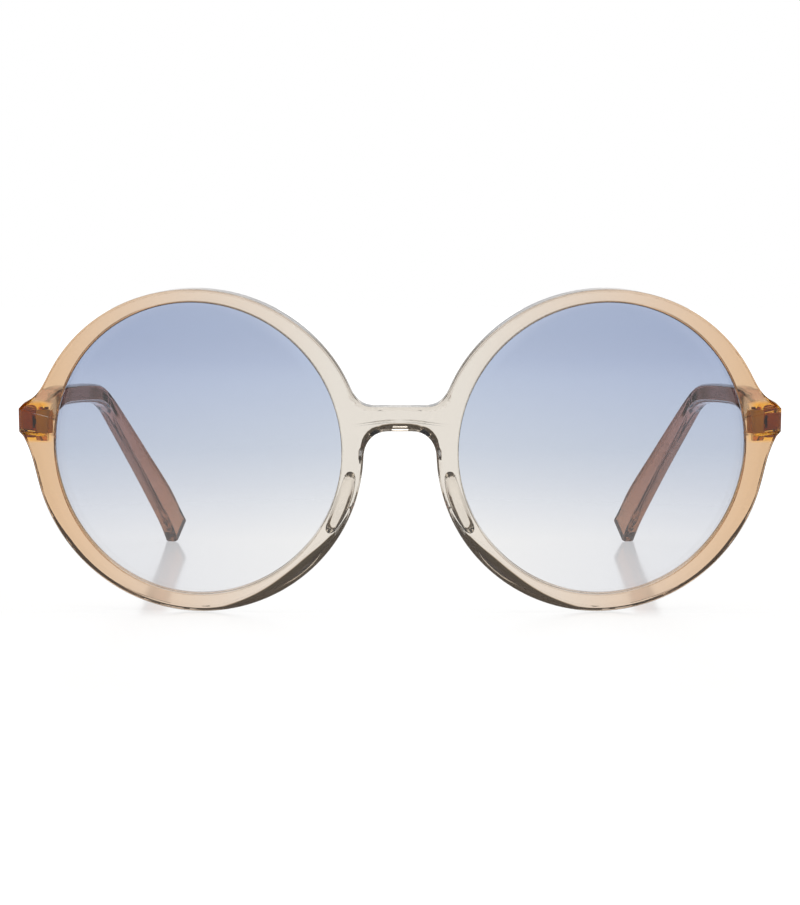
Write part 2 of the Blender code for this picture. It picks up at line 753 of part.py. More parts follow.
def temple_rings(tip_height):
    line = temple_line(tip_height)
    rings = []
    for step in range(TEMPLE_STEPS + 1):
        share = step / TEMPLE_STEPS
        middle = curve_through(line, share)
        nearby = 1 / TEMPLE_STEPS / 2
        ahead = curve_through(line, min(1, share + nearby)) - curve_through(line, max(0, share - nearby))
        way = ahead.normalized() if step else Vector((0, 1, 0))
        slim, tip = curve_through(SLIM_SHARES, share), curve_through(TIP_SHARES, share)
        height = TEMPLE_FRONT_HEIGHT + (TEMPLE_SLIM_HEIGHT - TEMPLE_FRONT_HEIGHT) * slim
        height += (TIP_HEIGHT - TEMPLE_SLIM_HEIGHT) * tip
        thinned = max(0.0, share - TEMPLE_FLAT_SHARE) / (1 - TEMPLE_FLAT_SHARE)
        thickness = TEMPLE_THICKNESS + (TIP_THICKNESS - TEMPLE_THICKNESS) * thinned
        rings.append(temple_ring(middle, way, height, thickness))
    for step in range(1, TIP_NOSE_STEPS):
        turn = math.pi / 2 * step / TIP_NOSE_STEPS
        keep = math.cos(turn)
        rings.append(temple_ring(
            middle + way * TIP_NOSE * math.sin(turn), way, height * keep, thickness * math.sqrt(keep),
        ))
    return rings


def settled_tip(hinge_height):
    """Height of the tip's middle about the hinge, for a tip that rests on the ground."""
    tip_height = TIP_HEIGHT / 2 - hinge_height
    for _ in range(SETTLE_STEPS):
        lowest = min(point.z for ring in temple_rings(tip_height) for point in ring)
        tip_height -= lowest + hinge_height
    return tip_height


def make_temple(name, side, axis, hinge_height):
    shape = sided(lofted(temple_rings(settled_tip(hinge_height))), side)
    item = add_object(name, mesh_from(shape, name), acetate_material(f"{name}_acetate"), axis)
    pocket = sided(box_shape(*temple_leaf_box(LEAF_FIT)), side)
    add_boolean(item, add_helper(f"{name}_pocket", pocket, axis), "DIFFERENCE")
    return item


def centre_on_origin(root, items):
    """Moves the root so that the middle of the piece's outline, front to back, is at the origin."""
    bpy.context.view_layer.update()
    depths = [(item.matrix_world @ corner.co).y for item in items for corner in item.data.vertices]
    root.location.y -= (min(depths) + max(depths)) / 2


def main():
    clear_scene()
    root = add_empty("glasses", (0, 0, 0))
    lift = ground_lift()
    front_root = add_empty("front_place", (0, 0, lift), root)
    place = hinge_place()
    items = [make_front(front_root)]
    for word, side in (("left", -1), ("right", 1)):
        axis = add_empty(f"hinge_axis_{word}", (-side * place.x, place.y, place.z + lift), root)
        make_lens(f"lens_{word}", side, front_root)
        make_pad(f"nose_pad_{word}", side, front_root)
        make_front_leaf(f"hinge_front_leaf_{word}", side, axis)
        make_temple_leaf(f"hinge_temple_leaf_{word}", side, axis)
        make_screw(f"hinge_screw_{word}", axis)
        items.append(make_temple(f"temple_{word}", side, axis, place.z + lift))
    centre_on_origin(root, items)


main()
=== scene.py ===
"""Round acetate sunglasses on a white table: the finish of every piece, the light and the camera.

Lengths are in metres, +Z is up, -Y is the way the lenses face, and left and right are as seen
from in front.
"""

import json
import math

import bpy
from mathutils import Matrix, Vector


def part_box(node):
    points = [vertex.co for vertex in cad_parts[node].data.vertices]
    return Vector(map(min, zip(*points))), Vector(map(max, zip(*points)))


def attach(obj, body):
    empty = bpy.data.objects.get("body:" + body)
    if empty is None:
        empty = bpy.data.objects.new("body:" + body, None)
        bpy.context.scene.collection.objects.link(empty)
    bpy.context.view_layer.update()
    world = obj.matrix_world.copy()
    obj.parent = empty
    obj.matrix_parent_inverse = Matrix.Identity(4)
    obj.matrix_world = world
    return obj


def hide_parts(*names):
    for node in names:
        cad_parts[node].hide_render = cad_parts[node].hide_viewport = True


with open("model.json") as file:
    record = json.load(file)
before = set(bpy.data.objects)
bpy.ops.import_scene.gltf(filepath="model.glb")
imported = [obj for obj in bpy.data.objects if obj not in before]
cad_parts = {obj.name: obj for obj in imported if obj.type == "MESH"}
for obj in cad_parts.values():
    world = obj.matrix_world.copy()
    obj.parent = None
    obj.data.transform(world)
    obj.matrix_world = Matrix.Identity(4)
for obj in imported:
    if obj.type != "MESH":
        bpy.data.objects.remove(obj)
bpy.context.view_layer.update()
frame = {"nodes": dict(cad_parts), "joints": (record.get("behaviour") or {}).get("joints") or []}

# Camera, in front of the bridge and a little above the glasses
CAMERA_DISTANCE = 0.5587
CAMERA_HEIGHT = 0.0643
CAMERA_TILT = math.radians(3.95)
CAMERA_LENS = 104.3
CAMERA_SENSOR = 36.0
CAMERA_CLIP = 0.01

# Front, measured flat before it is bent, as in its solid
BASE_CURVE_RADIUS = 0.230
FRONT_LEAN = math.radians(5)
FRONT_THICKNESS = 0.0040
OPENING_RADIUS = 0.02775
RIM_TOP_WIDTH = 0.00247
RIM_BOTTOM_WIDTH = 0.0032
RIM_SIDE_WIDTH = 0.0041
RIM_OUTER_WIDTH = 0.0047
EDGE_ROUND = 0.0005
BACK_CUT = 0.0004
OPENING_ROUND = 0.00016
BRIDGE_WIDTH = 0.0137
BRIDGE_TOP = 0.0085
BRIDGE_DEPTH = 0.00455
BRIDGE_TOP_FLAT = 0.0046
BRIDGE_ARCH_FLAT = 0.0022
ARCH_CUT = 0.0018
LOW_CUT = 0.0026
LENS_OFFSET = OPENING_RADIUS + RIM_SIDE_WIDTH + BRIDGE_WIDTH / 2

# End blocks
END_PROUD = 0.0035
END_RAISE = 0.0044
END_FLAT = 0.0044
END_CHAMFER = 0.00095
END_DEPTH = 0.0047
LEAST_LIP = 0.0005
END_LUG_START = 0.0011
WALL_LEAN = 0.0180
WALL_LEAN_FULL = 0.064
WALL_LEAN_END = 0.071
END_LUG_HALF = 0.0037
END_REACH = OPENING_RADIUS + RIM_SIDE_WIDTH + END_PROUD

# Lens and its groove
LENS_THICKNESS = 0.0018
LENS_DOME = 0.0012
LENS_SEATED = 0.00025
LENS_FIT = 0.00008
GROOVE_HALF = LENS_THICKNESS / 2 + LENS_FIT
GROOVE_DEPTH = LENS_SEATED + LENS_FIT
GROOVE_SET_BACK = FRONT_THICKNESS / 2
LENS_SEGMENTS = 144
LENS_DOME_RINGS = 14
LENS_SMOOTH_DEGREES = 32

# Where the outline's curves leave the rims, in degrees about the lens centre
BRIDGE_BLEND_DEGREES = 23.0
ARCH_BLEND_DEGREES = -2.0
END_BLEND_TOP_DEGREES = 151.0
END_BLEND_BOTTOM_DEGREES = -165.0
END_FLARE_TOP = math.radians(26)
END_FLARE_BOTTOM = math.radians(62)
PAD_START_DEGREES = -8.0
PAD_END_DEGREES = -33.0
ARCH_CUT_FULL_DEGREES = 6.0
ARCH_CUT_END_DEGREES = 0.0
LOW_CUT_START_DEGREES = -27.0
LOW_CUT_FULL_DEGREES = -39.0
LOW_CUT_FADE_DEGREES = -50.0
LOW_CUT_END_DEGREES = -86.0
BLEND_HANDLE_SHARE = 0.42
RIM_KNOT_DEGREES = 14.0
STEPS_PER_KNOT = 9

# Rings and steps of the front's mesh, and how its edges are cut and rounded
OUTLINE_RING = 0
OPENING_RING = 3
BRIDGE_SPAN = 0.0105
BRIDGE_CUTS = 12
LEAST_TURN_DEGREES = 0.03
LEAST_MITRE = 0.5
EDGE_SPARE = 0.0001
EDGE_SEGMENTS = 6
CUT_SEGMENTS = 4
CUT_PROFILE = 0.32
SHARP_TURN = math.cos(math.radians(32))
SAME_WALL = math.cos(math.radians(25))
WHOLE_WALL_SHARE = 0.9

# What counts as the same place, as a face that looks along Y, and as a wall beside it
SAME_PLACE = 0.000002
FACING = 0.9
NOT_FACING = 0.5

# Hinge
HINGE_AXIS = Vector(frame["joints"][0]["pos_m"])
HINGE_DROP = 0.0005
BARREL_RADIUS = 0.0012
BARREL_CLEARANCE = 0.0002

# Nose pads
PAD_DEPTH = 0.0034
PAD_INSET = 0.0006
PAD_EDGE = 0.0006
PAD_GLUE = 0.00005
PAD_FULLNESS = 0.34
PAD_LEAST_SWELL_SHARE = 0.10
PAD_LEAST_WIDTH_SHARE = 0.30
PAD_STEPS = 14
PAD_CREASE = 0.85
PAD_SUBDIVISIONS = 3
PAD_SMOOTH_DEGREES = 60
PAD_SECTION_SHARES = (
    (0.00, 0.00), (1.00, 0.00), (1.00, 0.70), (0.95, 0.93),
    (0.66, 1.00), (0.34, 1.00), (0.05, 0.93), (0.00, 0.70),
)

# Temples
SEAT_GAP = 0.0003
TEMPLE_THICKNESS = 0.0038
TEMPLE_FRONT_HEIGHT = 0.0063
TEMPLE_SLIM_HEIGHT = 0.0037
TIP_HEIGHT = 0.0077
TIP_THICKNESS = 0.0029
TEMPLE_REACH = 0.0956
TEMPLE_RISE = 0.0029
TEMPLE_INSET = 0.0052
TIP_REACH = 0.0273
TIP_INSET = 0.0122
TEMPLE_EDGE = 0.0008
TEMPLE_EDGE_LIMIT_SHARE = 0.33
TIP_NOSE = 0.0006
TIP_SLANT = -0.2
TIP_SLANT_STEPS = 16
TEMPLE_STEPS = 240
TIP_NOSE_STEPS = 12
CORNER_STEPS = 6
SETTLE_STEPS = 6
TEMPLE_FLAT_SHARE = 1 / 6
ARM_LINE_SHARES = (
    (0.000, 0.00, 0.00), (0.080, 0.03, 0.00), (0.165, 0.23, 0.00), (0.265, 0.62, 0.00),
    (0.380, 1.00, 0.09), (0.560, 0.90, 0.24), (0.745, 0.66, 0.42), (0.865, 0.36, 0.60),
    (0.940, -0.25, 0.77), (1.000, -1.31, 1.00),
)
DROP_LINE_SHARES = ((0.37, 0.40, 0.445), (0.70, 0.74, 0.80), (1.00, 1.00, 1.00))
SLIM_SHARES = (0.00, 0.05, 0.25, 0.55, 0.78, 0.80, 0.80, 0.86, 0.95, 1.00, 1.00, 1.00, 1.00)
TIP_SHARES = (0.00, 0.00, 0.00, 0.00, 0.00, 0.00, 0.00, 0.00, 0.00, 0.07, 0.38, 0.78, 1.08)
TEMPLE_SMOOTH_DEGREES = 40

# Lamps
SOFTBOX_PLACE = (0, 0, 0.7)
SOFTBOX_SIZE = 0.8
SOFTBOX_POWER = 3.0
GLINT_PLACE = (0, -0.17, 0.6)
GLINT_TARGET = (0, -0.06, 0.04)
GLINT_SIZE = 0.12
GLINT_POWER = 0.14

# Backdrop and room, by how far a ray goes along each axis
BACKDROP_SIDE_FROM = 0.15
BACKDROP_SIDE_TO = 0.21
BACKDROP_TOP_FROM = 0.28
BACKDROP_TOP_TO = 0.40
BACKDROP_END = 0.1
SWEEP_FROM = -0.14
SWEEP_TO = -0.05
ROOM_STRENGTH = 0.07
ROOM_COLOUR = (1.0, 0.76, 0.47)

# Table: lit near the glasses, glossy from their front edge backwards
TABLE_SIZE = 8.0
TABLE_COLOUR = (0.85, 0.85, 0.85)
TABLE_ROUGHNESS = 0.35
TABLE_GLOW_SHARE = 0.70
TABLE_GLOW_STRENGTH = 1.25
TABLE_LIT_FROM = 0.16
TABLE_LIT_TO = 0.26
TABLE_GLOSS = 0.60
TABLE_GLOSS_ROUGHNESS = 0.09
TABLE_GLOSS_FROM = -0.078
TABLE_GLOSS_TO = -0.056

# Acetate, in linear colour: the front's from the bridge outwards, by share of its run
ACETATE_IOR = 1.49
FRONT_RUN_FROM = 0.012
FRONT_RUN_TO = 0.070
FRONT_COLOURS = (
    (0.0, (0.86, 0.84, 0.80)), (0.5, (0.83, 0.69, 0.57)), (1.0, (0.80, 0.54, 0.32)),
)
# Painted shade: amber on the lugs, for the deeper tone that light takes through the thick block and the
# temple end behind it
LUG_SHADE_AMBER = (1.000, 0.500, 0.060)
LUG_SHADE_FROM = 0.0655
LUG_SHADE_FULL = 0.0680
LUG_SHADE_HALF_FULL = 0.0032
LUG_SHADE_HALF_END = 0.0043
FRONT_DEPTH_COLOUR = (0.72, 0.60, 0.45)
FRONT_DEPTH_DENSITY = 90.0
TEMPLE_RUN_FROM = -0.055
TEMPLE_RUN_TO = 0.070
# The first stop is painted light: brighter amber at the hinge end; the rest is brown acetate, darker towards
# the tip
TEMPLE_TONES_AND_PAINTED_END_LIGHT = (
    (0.0, (0.95, 0.52, 0.20)), (0.1, (0.63, 0.34, 0.28)), (0.7, (0.60, 0.33, 0.28)),
    (1.0, (0.42, 0.18, 0.08)),
)
TEMPLE_DEPTH_COLOUR = (0.70, 0.40, 0.20)
TEMPLE_DEPTH_DENSITY = 24.0
SAWN_FROM = 0.032
SAWN_TO = 0.040
# Amber of the sawn ends, with painted top light: lighter towards the top
SAWN_AMBER_AND_TOP_LIGHT = ((0.0, (1.000, 0.540, 0.080)), (1.0, (1.000, 0.621, 0.092)))
SAWN_TRANSMISSION = 0.2
PAD_TINT_FROM = 0.014
PAD_TINT_TO = 0.028
PAD_COLOURS = ((0.0, (0.970, 0.960, 0.940)), (1.0, (0.960, 0.940, 0.915)))
PAD_DEPTH_COLOUR = (0.72, 0.62, 0.50)
PAD_DEPTH_DENSITY = 12.0

# Lens tint: clear for the lowest fifth, full at four fifths, and a little deeper outwards
TINT_COLOURS = (
    (0.2, (0.85, 0.85, 0.85)), (0.5, (0.58, 0.63, 0.72)), (0.8, (0.45, 0.52, 0.68)),
)
TINT_ACROSS = ((0.0, (1.0, 1.0, 1.0)), (1.0, (0.85, 0.87, 0.92)))
LENS_IOR = 1.5

# Plating, from the hinge's foot to its head, painted lighter towards the head as top light
PLATING_FROM = 0.033
PLATING_TO = 0.039
PLATING_AND_TOP_LIGHT = ((0.0, (0.80, 0.56, 0.28)), (1.0, (0.96, 0.74, 0.42)))

# Least and most roughness of each finish, and how fine it wanders
FRONT_POLISH = (0.0, 0.02, 90.0)
TEMPLE_POLISH = (0.0, 0.04, 60.0)
SAWN_POLISH = (0.35, 0.55, 400.0)
PAD_POLISH = (0.0, 0.03, 120.0)
LENS_POLISH = (0.0, 0.01, 40.0)
LEAF_POLISH = (0.216, 0.504, 900.0)
SCREW_POLISH = (0.108, 0.252, 1500.0)
POLISH_DETAIL = 3.0


def bent(across, up, back):
    """A point of the flat front, bent round the base curve with its depth straight back, and leaned."""
    angle = across / BASE_CURVE_RADIUS
    reach = BASE_CURVE_RADIUS - back
    depth = BASE_CURVE_RADIUS - reach * math.cos(angle)
    lean_cos, lean_sin = math.cos(FRONT_LEAN), math.sin(FRONT_LEAN)
    return Vector((
        BASE_CURVE_RADIUS * math.sin(angle),
        depth * lean_cos - up * lean_sin,
        depth * lean_sin + up * lean_cos,
    ))


def front_place():
    """How far the bent front is set back and raised, so that its hinges meet the frame's."""
    seat = bent(-LENS_OFFSET - END_REACH, END_RAISE, 0).y + END_DEPTH
    outer = bent(-LENS_OFFSET - END_REACH, END_RAISE, FRONT_THICKNESS)
    return Vector((
        0,
        HINGE_AXIS.y - BARREL_CLEARANCE - BARREL_RADIUS - seat,
        HINGE_AXIS.z + HINGE_DROP - outer.z,
    ))


FRONT_PLACE = front_place()


def select_in_edit(piece, kind, test):
    """Selects the vertices, edges or faces that pass a test, and goes into edit mode."""
    mesh = piece.data
    for parts in (mesh.vertices, mesh.edges, mesh.polygons):
        parts.foreach_set("select", [False] * len(parts))
    for part in {"VERT": mesh.vertices, "EDGE": mesh.edges, "FACE": mesh.polygons}[kind]:
        part.select = test(part)
    bpy.ops.object.select_all(action="DESELECT")
    piece.select_set(True)
    bpy.context.view_layer.objects.active = piece
    bpy.context.tool_settings.mesh_select_mode = [kind == mode for mode in ("VERT", "EDGE", "FACE")]
    bpy.ops.object.mode_set(mode="EDIT")


def apply_modifier(piece, kind, **settings):
    """Adds a modifier with these settings and applies it."""
    modifier = piece.modifiers.new(kind.title(), kind)
    for name, value in settings.items():
        setattr(modifier, name, value)
    bpy.context.view_layer.objects.active = piece
    bpy.ops.object.modifier_apply(modifier=modifier.name)


def face_outwards(piece):
    """Turns all faces of a closed piece outwards."""
    select_in_edit(piece, "FACE", lambda face: True)
    bpy.ops.mesh.normals_make_consistent(inside=False)
    bpy.ops.object.mode_set(mode="OBJECT")


def marked(piece, name, part, values):
    """Notes a whole number on each vertex or face of a piece."""
    notes = piece.data.attributes.new(name, "INT", part)
    notes.data.foreach_set("value", list(values))


def new_ring(name, count, fill="NOTHING"):
    """A ring of vertices to start a piece from, each with its number in the ring."""
    bpy.ops.object.select_all(action="DESELECT")
    bpy.ops.mesh.primitive_circle_add(vertices=count, radius=OPENING_RADIUS, fill_type=fill)
    piece = bpy.context.active_object
    piece.name = piece.data.name = name
    marked(piece, "number", "POINT", range(count))
    return piece


def place_selected(piece, points):
    """Puts each selected vertex on the point that has its number."""
    numbers = piece.data.attributes["number"].data
    for vertex in piece.data.vertices:
        if vertex.select:
            vertex.co = points[numbers[vertex.index].value]


def drawn_out(name, rings):
    """A closed bar: an end face that is drawn out from ring to ring."""
    piece = new_ring(name, len(rings[0]), "NGON")
    place_selected(piece, rings[0])
    for ring in rings[1:]:
        bpy.ops.object.mode_set(mode="EDIT")
        bpy.ops.mesh.extrude_region_move()
        bpy.ops.object.mode_set(mode="OBJECT")
        place_selected(piece, ring)
    face_outwards(piece)
    return piece


def bent_and_leaned(piece):
    """Bends a flat piece as in bent(), leans it forward and stands it in its place."""
    across = [vertex.co.x for vertex in piece.data.vertices]
    apply_modifier(piece, "SIMPLE_DEFORM", deform_method="BEND", deform_axis="Z",
                   angle=(max(across) - min(across)) / BASE_CURVE_RADIUS)
    for vertex in piece.data.vertices:
        to_centre = Vector((vertex.co.x, BASE_CURVE_RADIUS - vertex.co.y))
        vertex.co.x *= BASE_CURVE_RADIUS / to_centre.length
    select_in_edit(piece, "VERT", lambda vertex: True)
    bpy.ops.transform.rotate(value=-FRONT_LEAN, orient_axis="X", center_override=(0, 0, 0))
    bpy.ops.transform.translate(value=FRONT_PLACE)
    bpy.ops.object.mode_set(mode="OBJECT")


def bent_point(across, up, back):
    """Where a point of the flat front lies once it stands in its place."""
    return FRONT_PLACE + bent(across, up, back)


def rim_point(degrees):
    """Outer edge of the left rim at an angle about its lens centre, and the way onward there."""
    turn = math.radians(degrees)
    wide = OPENING_RADIUS + (RIM_OUTER_WIDTH if math.cos(turn) < 0 else RIM_SIDE_WIDTH)
    tall = OPENING_RADIUS + (RIM_TOP_WIDTH if math.sin(turn) > 0 else RIM_BOTTOM_WIDTH)
    point = Vector((wide * math.cos(turn) - LENS_OFFSET, 0, tall * math.sin(turn)))
    return point, Vector((wide * math.sin(turn), 0, -tall * math.cos(turn)))


def rim_knots(first, last):
    """Knots of the rim's outer edge from one angle to another: point, handle in and handle out."""
    count = math.ceil((first - last) / RIM_KNOT_DEGREES)
    handle = 4 / 3 * math.tan(math.radians((first - last) / count) / 4)
    knots = []
    for k in range(count + 1):
        point, onward = rim_point(first + (last - first) * k / count)
        knots.append([point, -onward * handle, onward * handle])
    return knots


def blend_handles(knots, start, start_way, end_way):
    """Smooth handles between the knot at a number and the knot after it."""
    first, second = knots[start], knots[start + 1]
    reach = (second[0] - first[0]).length * BLEND_HANDLE_SHARE
    first[2] = start_way.normalized() * reach
    second[1] = -end_way.normalized() * reach


def corner_knot(across, up):
    """A knot whose sides run straight unless blend_handles() bends them."""
    return [Vector((across, 0, up)), None, None]


def outline_knots():
    """The left half's outer outline, from under the bridge round the rim to its top."""
    arch_height = BRIDGE_TOP - BRIDGE_DEPTH
    edge = -LENS_OFFSET - END_REACH
    low, high = END_RAISE - END_FLAT / 2, END_RAISE + END_FLAT / 2
    knots = [corner_knot(0, arch_height), corner_knot(-BRIDGE_ARCH_FLAT, arch_height)]
    knots += rim_knots(ARCH_BLEND_DEGREES, END_BLEND_BOTTOM_DEGREES)
    blend_handles(knots, 1, Vector((-1, 0, 0)), rim_point(ARCH_BLEND_DEGREES)[1])
    low_end = len(knots)
    knots += [
        corner_knot(edge + END_CHAMFER, low - END_CHAMFER), corner_knot(edge, low),
        corner_knot(edge, high), corner_knot(edge + END_CHAMFER, high + END_CHAMFER),
    ]
    outward = Vector((-math.cos(END_FLARE_BOTTOM), 0, math.sin(END_FLARE_BOTTOM)))
    blend_handles(knots, low_end - 1, rim_point(END_BLEND_BOTTOM_DEGREES)[1], outward)
    high_end = len(knots)
    knots += rim_knots(END_BLEND_TOP_DEGREES, BRIDGE_BLEND_DEGREES)
    inward = Vector((math.cos(END_FLARE_TOP), 0, math.sin(END_FLARE_TOP)))
    blend_handles(knots, high_end - 1, inward, rim_point(END_BLEND_TOP_DEGREES)[1])
    knots += [corner_knot(-BRIDGE_TOP_FLAT, BRIDGE_TOP), corner_knot(0, BRIDGE_TOP)]
    blend_handles(knots, len(knots) - 3, rim_point(BRIDGE_BLEND_DEGREES)[1], Vector((1, 0, 0)))
    return knots


def drawn_outline():
    """The outline's points, read off a drawn curve."""
    knots = outline_knots()
    bpy.ops.object.select_all(action="DESELECT")
    bpy.ops.curve.primitive_bezier_curve_add()
    drawing = bpy.context.active_object
    drawing.data.resolution_u = STEPS_PER_KNOT
    points = drawing.data.splines[0].bezier_points
    points.add(len(knots) - len(points))
    for k, (point, (place, before, after)) in enumerate(zip(points, knots)):
        point.handle_left_type = point.handle_right_type = "FREE"
        point.co = place
        previous = knots[max(k - 1, 0)][0]
        following = knots[min(k + 1, len(knots) - 1)][0]
        point.handle_left = place + (before or (previous - place) / 3)
        point.handle_right = place + (after or (following - place) / 3)
    bpy.ops.object.convert(target="MESH")
    outline = [vertex.co.copy() for vertex in drawing.data.vertices]
    bpy.data.objects.remove(drawing)
    return outline


def outward_ways(points):
    """The way out of the material at each point of the outline."""
    ways = []
    for k, point in enumerate(points):
        before = points[k - 1] if k else Vector((-points[1].x, 0, points[1].z))
        after = points[k + 1] if k + 1 < len(points) else Vector((-points[-2].x, 0, points[-2].z))
        first, second = (point - before).normalized(), (after - point).normalized()
        way = (first + second).normalized()
        ways.append(Vector((-way.z, 0, way.x)) / max(LEAST_MITRE, way.dot(first)))
    return ways


def from_lens_centre(point):
    """Angle in degrees of a point about the left lens centre."""
    return math.degrees(math.atan2(point.z, point.x + LENS_OFFSET))


def back_edge(degrees):
    """Width of the cut back edge: wide under the bridge and below the pads, narrow elsewhere."""
    if degrees > BRIDGE_BLEND_DEGREES / 2:
        return BACK_CUT
    if degrees > PAD_START_DEGREES:
        wide, start, full = ARCH_CUT, ARCH_CUT_END_DEGREES, ARCH_CUT_FULL_DEGREES
    elif degrees > LOW_CUT_FULL_DEGREES:
        wide, start, full = LOW_CUT, LOW_CUT_START_DEGREES, LOW_CUT_FULL_DEGREES
    else:
        wide, start, full = LOW_CUT, LOW_CUT_END_DEGREES, LOW_CUT_FADE_DEGREES
    share = min(1.0, max(0.0, (degrees - start) / (full - start)))
    return BACK_CUT + (wide - BACK_CUT) * share


def front_rings():
    """Rings of the flat left half: the outline, a band inside it, the lug's foot and the opening."""
    outline = drawn_outline()
    band = []
    for point, way in zip(outline, outward_ways(outline)):
        width = back_edge(from_lens_centre(point)) + EDGE_SPARE
        band.append(point - way * width)
    angles = [from_lens_centre(point) for point in band]
    for k in reversed(range(2 * STEPS_PER_KNOT)):
        angles[k] = max(angles[k], angles[k + 1] + LEAST_TURN_DEGREES)
    ways = [Vector((math.cos(turn), 0, math.sin(turn))) for turn in map(math.radians, angles)]
    centre = Vector((-LENS_OFFSET, 0, 0))
    foot = [centre + way * (OPENING_RADIUS + LEAST_LIP + END_LUG_START * min(0.0, way.x) ** 2)
            for way in ways]
    opening = [centre + way * OPENING_RADIUS for way in ways]
    return [outline, band, foot, opening]


def flat_half():
    """The flat left half of the front as one sheet of faces round its opening."""
    rings = front_rings()
    piece = new_ring("front_half", len(rings[0]))
    ring_of = [0] * len(rings[0])
    select_in_edit(piece, "EDGE", lambda edge: set(edge.vertices) == {0, len(rings[0]) - 1})
    bpy.ops.mesh.delete(type="EDGE")
    bpy.ops.object.mode_set(mode="OBJECT")
    for vertex in piece.data.vertices:
        vertex.select = True
    place_selected(piece, rings[0])
    for k, ring in enumerate(rings[1:], 1):
        first = len(piece.data.vertices) - len(ring)
        select_in_edit(piece, "EDGE", lambda edge: min(edge.vertices) >= first)
        bpy.ops.mesh.extrude_region_move()
        bpy.ops.object.mode_set(mode="OBJECT")
        place_selected(piece, ring)
        ring_of += [k] * len(ring)
    marked(piece, "ring", "POINT", ring_of)
    ends = {0, len(rings[0]) - 1}
    for ring in (1, 2):
        numbers = piece.data.attributes["number"].data
        select_in_edit(piece, "VERT", lambda vertex: ring_of[vertex.index] in (ring, ring + 1)
                       and numbers[vertex.index].value in ends)
        bpy.ops.mesh.edge_face_add()
        bpy.ops.object.mode_set(mode="OBJECT")
    return piece


def near(value, target):
    """Whether two lengths are the same, but for rounding."""
    return abs(value - target) < SAME_PLACE


def thickened_half():
    """The left half with its thickness, its lens groove and notes on its edges and lug."""
    piece = flat_half()
    select_in_edit(piece, "FACE", lambda face: True)
    bpy.ops.mesh.extrude_region_move(TRANSFORM_OT_translate={"value": (0, FRONT_THICKNESS, 0)})
    bpy.ops.object.mode_set(mode="OBJECT")
    mesh = piece.data
    select_in_edit(piece, "FACE", lambda face: all(
        near(mesh.vertices[k].co.x, 0) for k in face.vertices))
    bpy.ops.mesh.delete(type="FACE")
    bpy.ops.object.mode_set(mode="OBJECT")
    face_outwards(piece)
    for back in (-GROOVE_HALF, GROOVE_HALF):
        select_opening(piece, FRONT_THICKNESS)
        bpy.ops.mesh.bisect(plane_co=(0, GROOVE_SET_BACK + back, 0), plane_no=(0, 1, 0))
        bpy.ops.object.mode_set(mode="OBJECT")
    select_opening(piece, GROOVE_HALF)
    bpy.ops.mesh.extrude_region_move()
    bpy.ops.object.mode_set(mode="OBJECT")
    for vertex in piece.data.vertices:
        if vertex.select:
            way = vertex.co - Vector((-LENS_OFFSET, vertex.co.y, 0))
            vertex.co += way.normalized() * GROOVE_DEPTH
    for cut in range(1, BRIDGE_CUTS):
        rings = piece.data.attributes["ring"].data
        select_in_edit(piece, "FACE", lambda face: abs(face.normal.y) > FACING and all(
            rings[k].value != OUTLINE_RING for k in face.vertices))
        bpy.ops.mesh.bisect(plane_co=(-BRIDGE_SPAN * cut / BRIDGE_CUTS, 0, 0), plane_no=(1, 0, 0))
        bpy.ops.object.mode_set(mode="OBJECT")
    note_edges(piece)
    note_lug(piece)
    return piece


def select_opening(piece, reach):
    """The faces of the opening's wall within a reach of its middle depth, chosen in edit mode."""
    def on_wall(face):
        away = face.center - Vector((-LENS_OFFSET, face.center.y, 0))
        in_reach = abs(face.center.y - GROOVE_SET_BACK) < reach
        on_edge = away.length < OPENING_RADIUS + SAME_PLACE
        return in_reach and abs(face.normal.y) < NOT_FACING and on_edge
    select_in_edit(piece, "FACE", on_wall)


def note_edges(piece):
    """Notes how far each edge is cut or rounded, as a share of the widest cut."""
    mesh = piece.data
    mesh.attributes.new("bevel_weight_edge", "FLOAT", "EDGE")
    mesh.attributes.new("rounded_edge", "FLOAT", "EDGE")
    rings = mesh.attributes["ring"].data
    cuts = mesh.attributes["bevel_weight_edge"].data
    rounds = mesh.attributes["rounded_edge"].data
    for edge in mesh.edges:
        ends = [mesh.vertices[k] for k in edge.vertices]
        ring = {rings[k].value for k in edge.vertices}
        middle = (ends[0].co + ends[1].co) / 2
        flat = near(ends[0].co.y, ends[1].co.y)
        on_face = flat and (near(middle.y, 0) or near(middle.y, FRONT_THICKNESS))
        if not on_face or len(ring) > 1 or near(middle.x, 0):
            continue
        if ring == {OPENING_RING}:
            rounds[edge.index].value = OPENING_ROUND / LOW_CUT
        elif ring == {OUTLINE_RING} and near(middle.y, 0):
            rounds[edge.index].value = EDGE_ROUND / LOW_CUT
        elif ring == {OUTLINE_RING}:
            cuts[edge.index].value = back_edge(from_lens_centre(middle)) / LOW_CUT


def note_lug(piece):
    """Notes the faces at the back that the hinge lug grows from."""
    mesh = piece.data
    rings = mesh.attributes["ring"].data

    def on_lug(face):
        at_back = near(face.center.y, FRONT_THICKNESS) and abs(face.normal.y) > FACING
        outside = face.center.x < -LENS_OFFSET - OPENING_RADIUS / 2
        level = abs(face.center.z - END_RAISE) < END_LUG_HALF
        return at_back and outside and level and all(
            rings[k].value != OPENING_RING for k in face.vertices)
    marked(piece, "lug", "FACE", [int(on_lug(face)) for face in mesh.polygons])


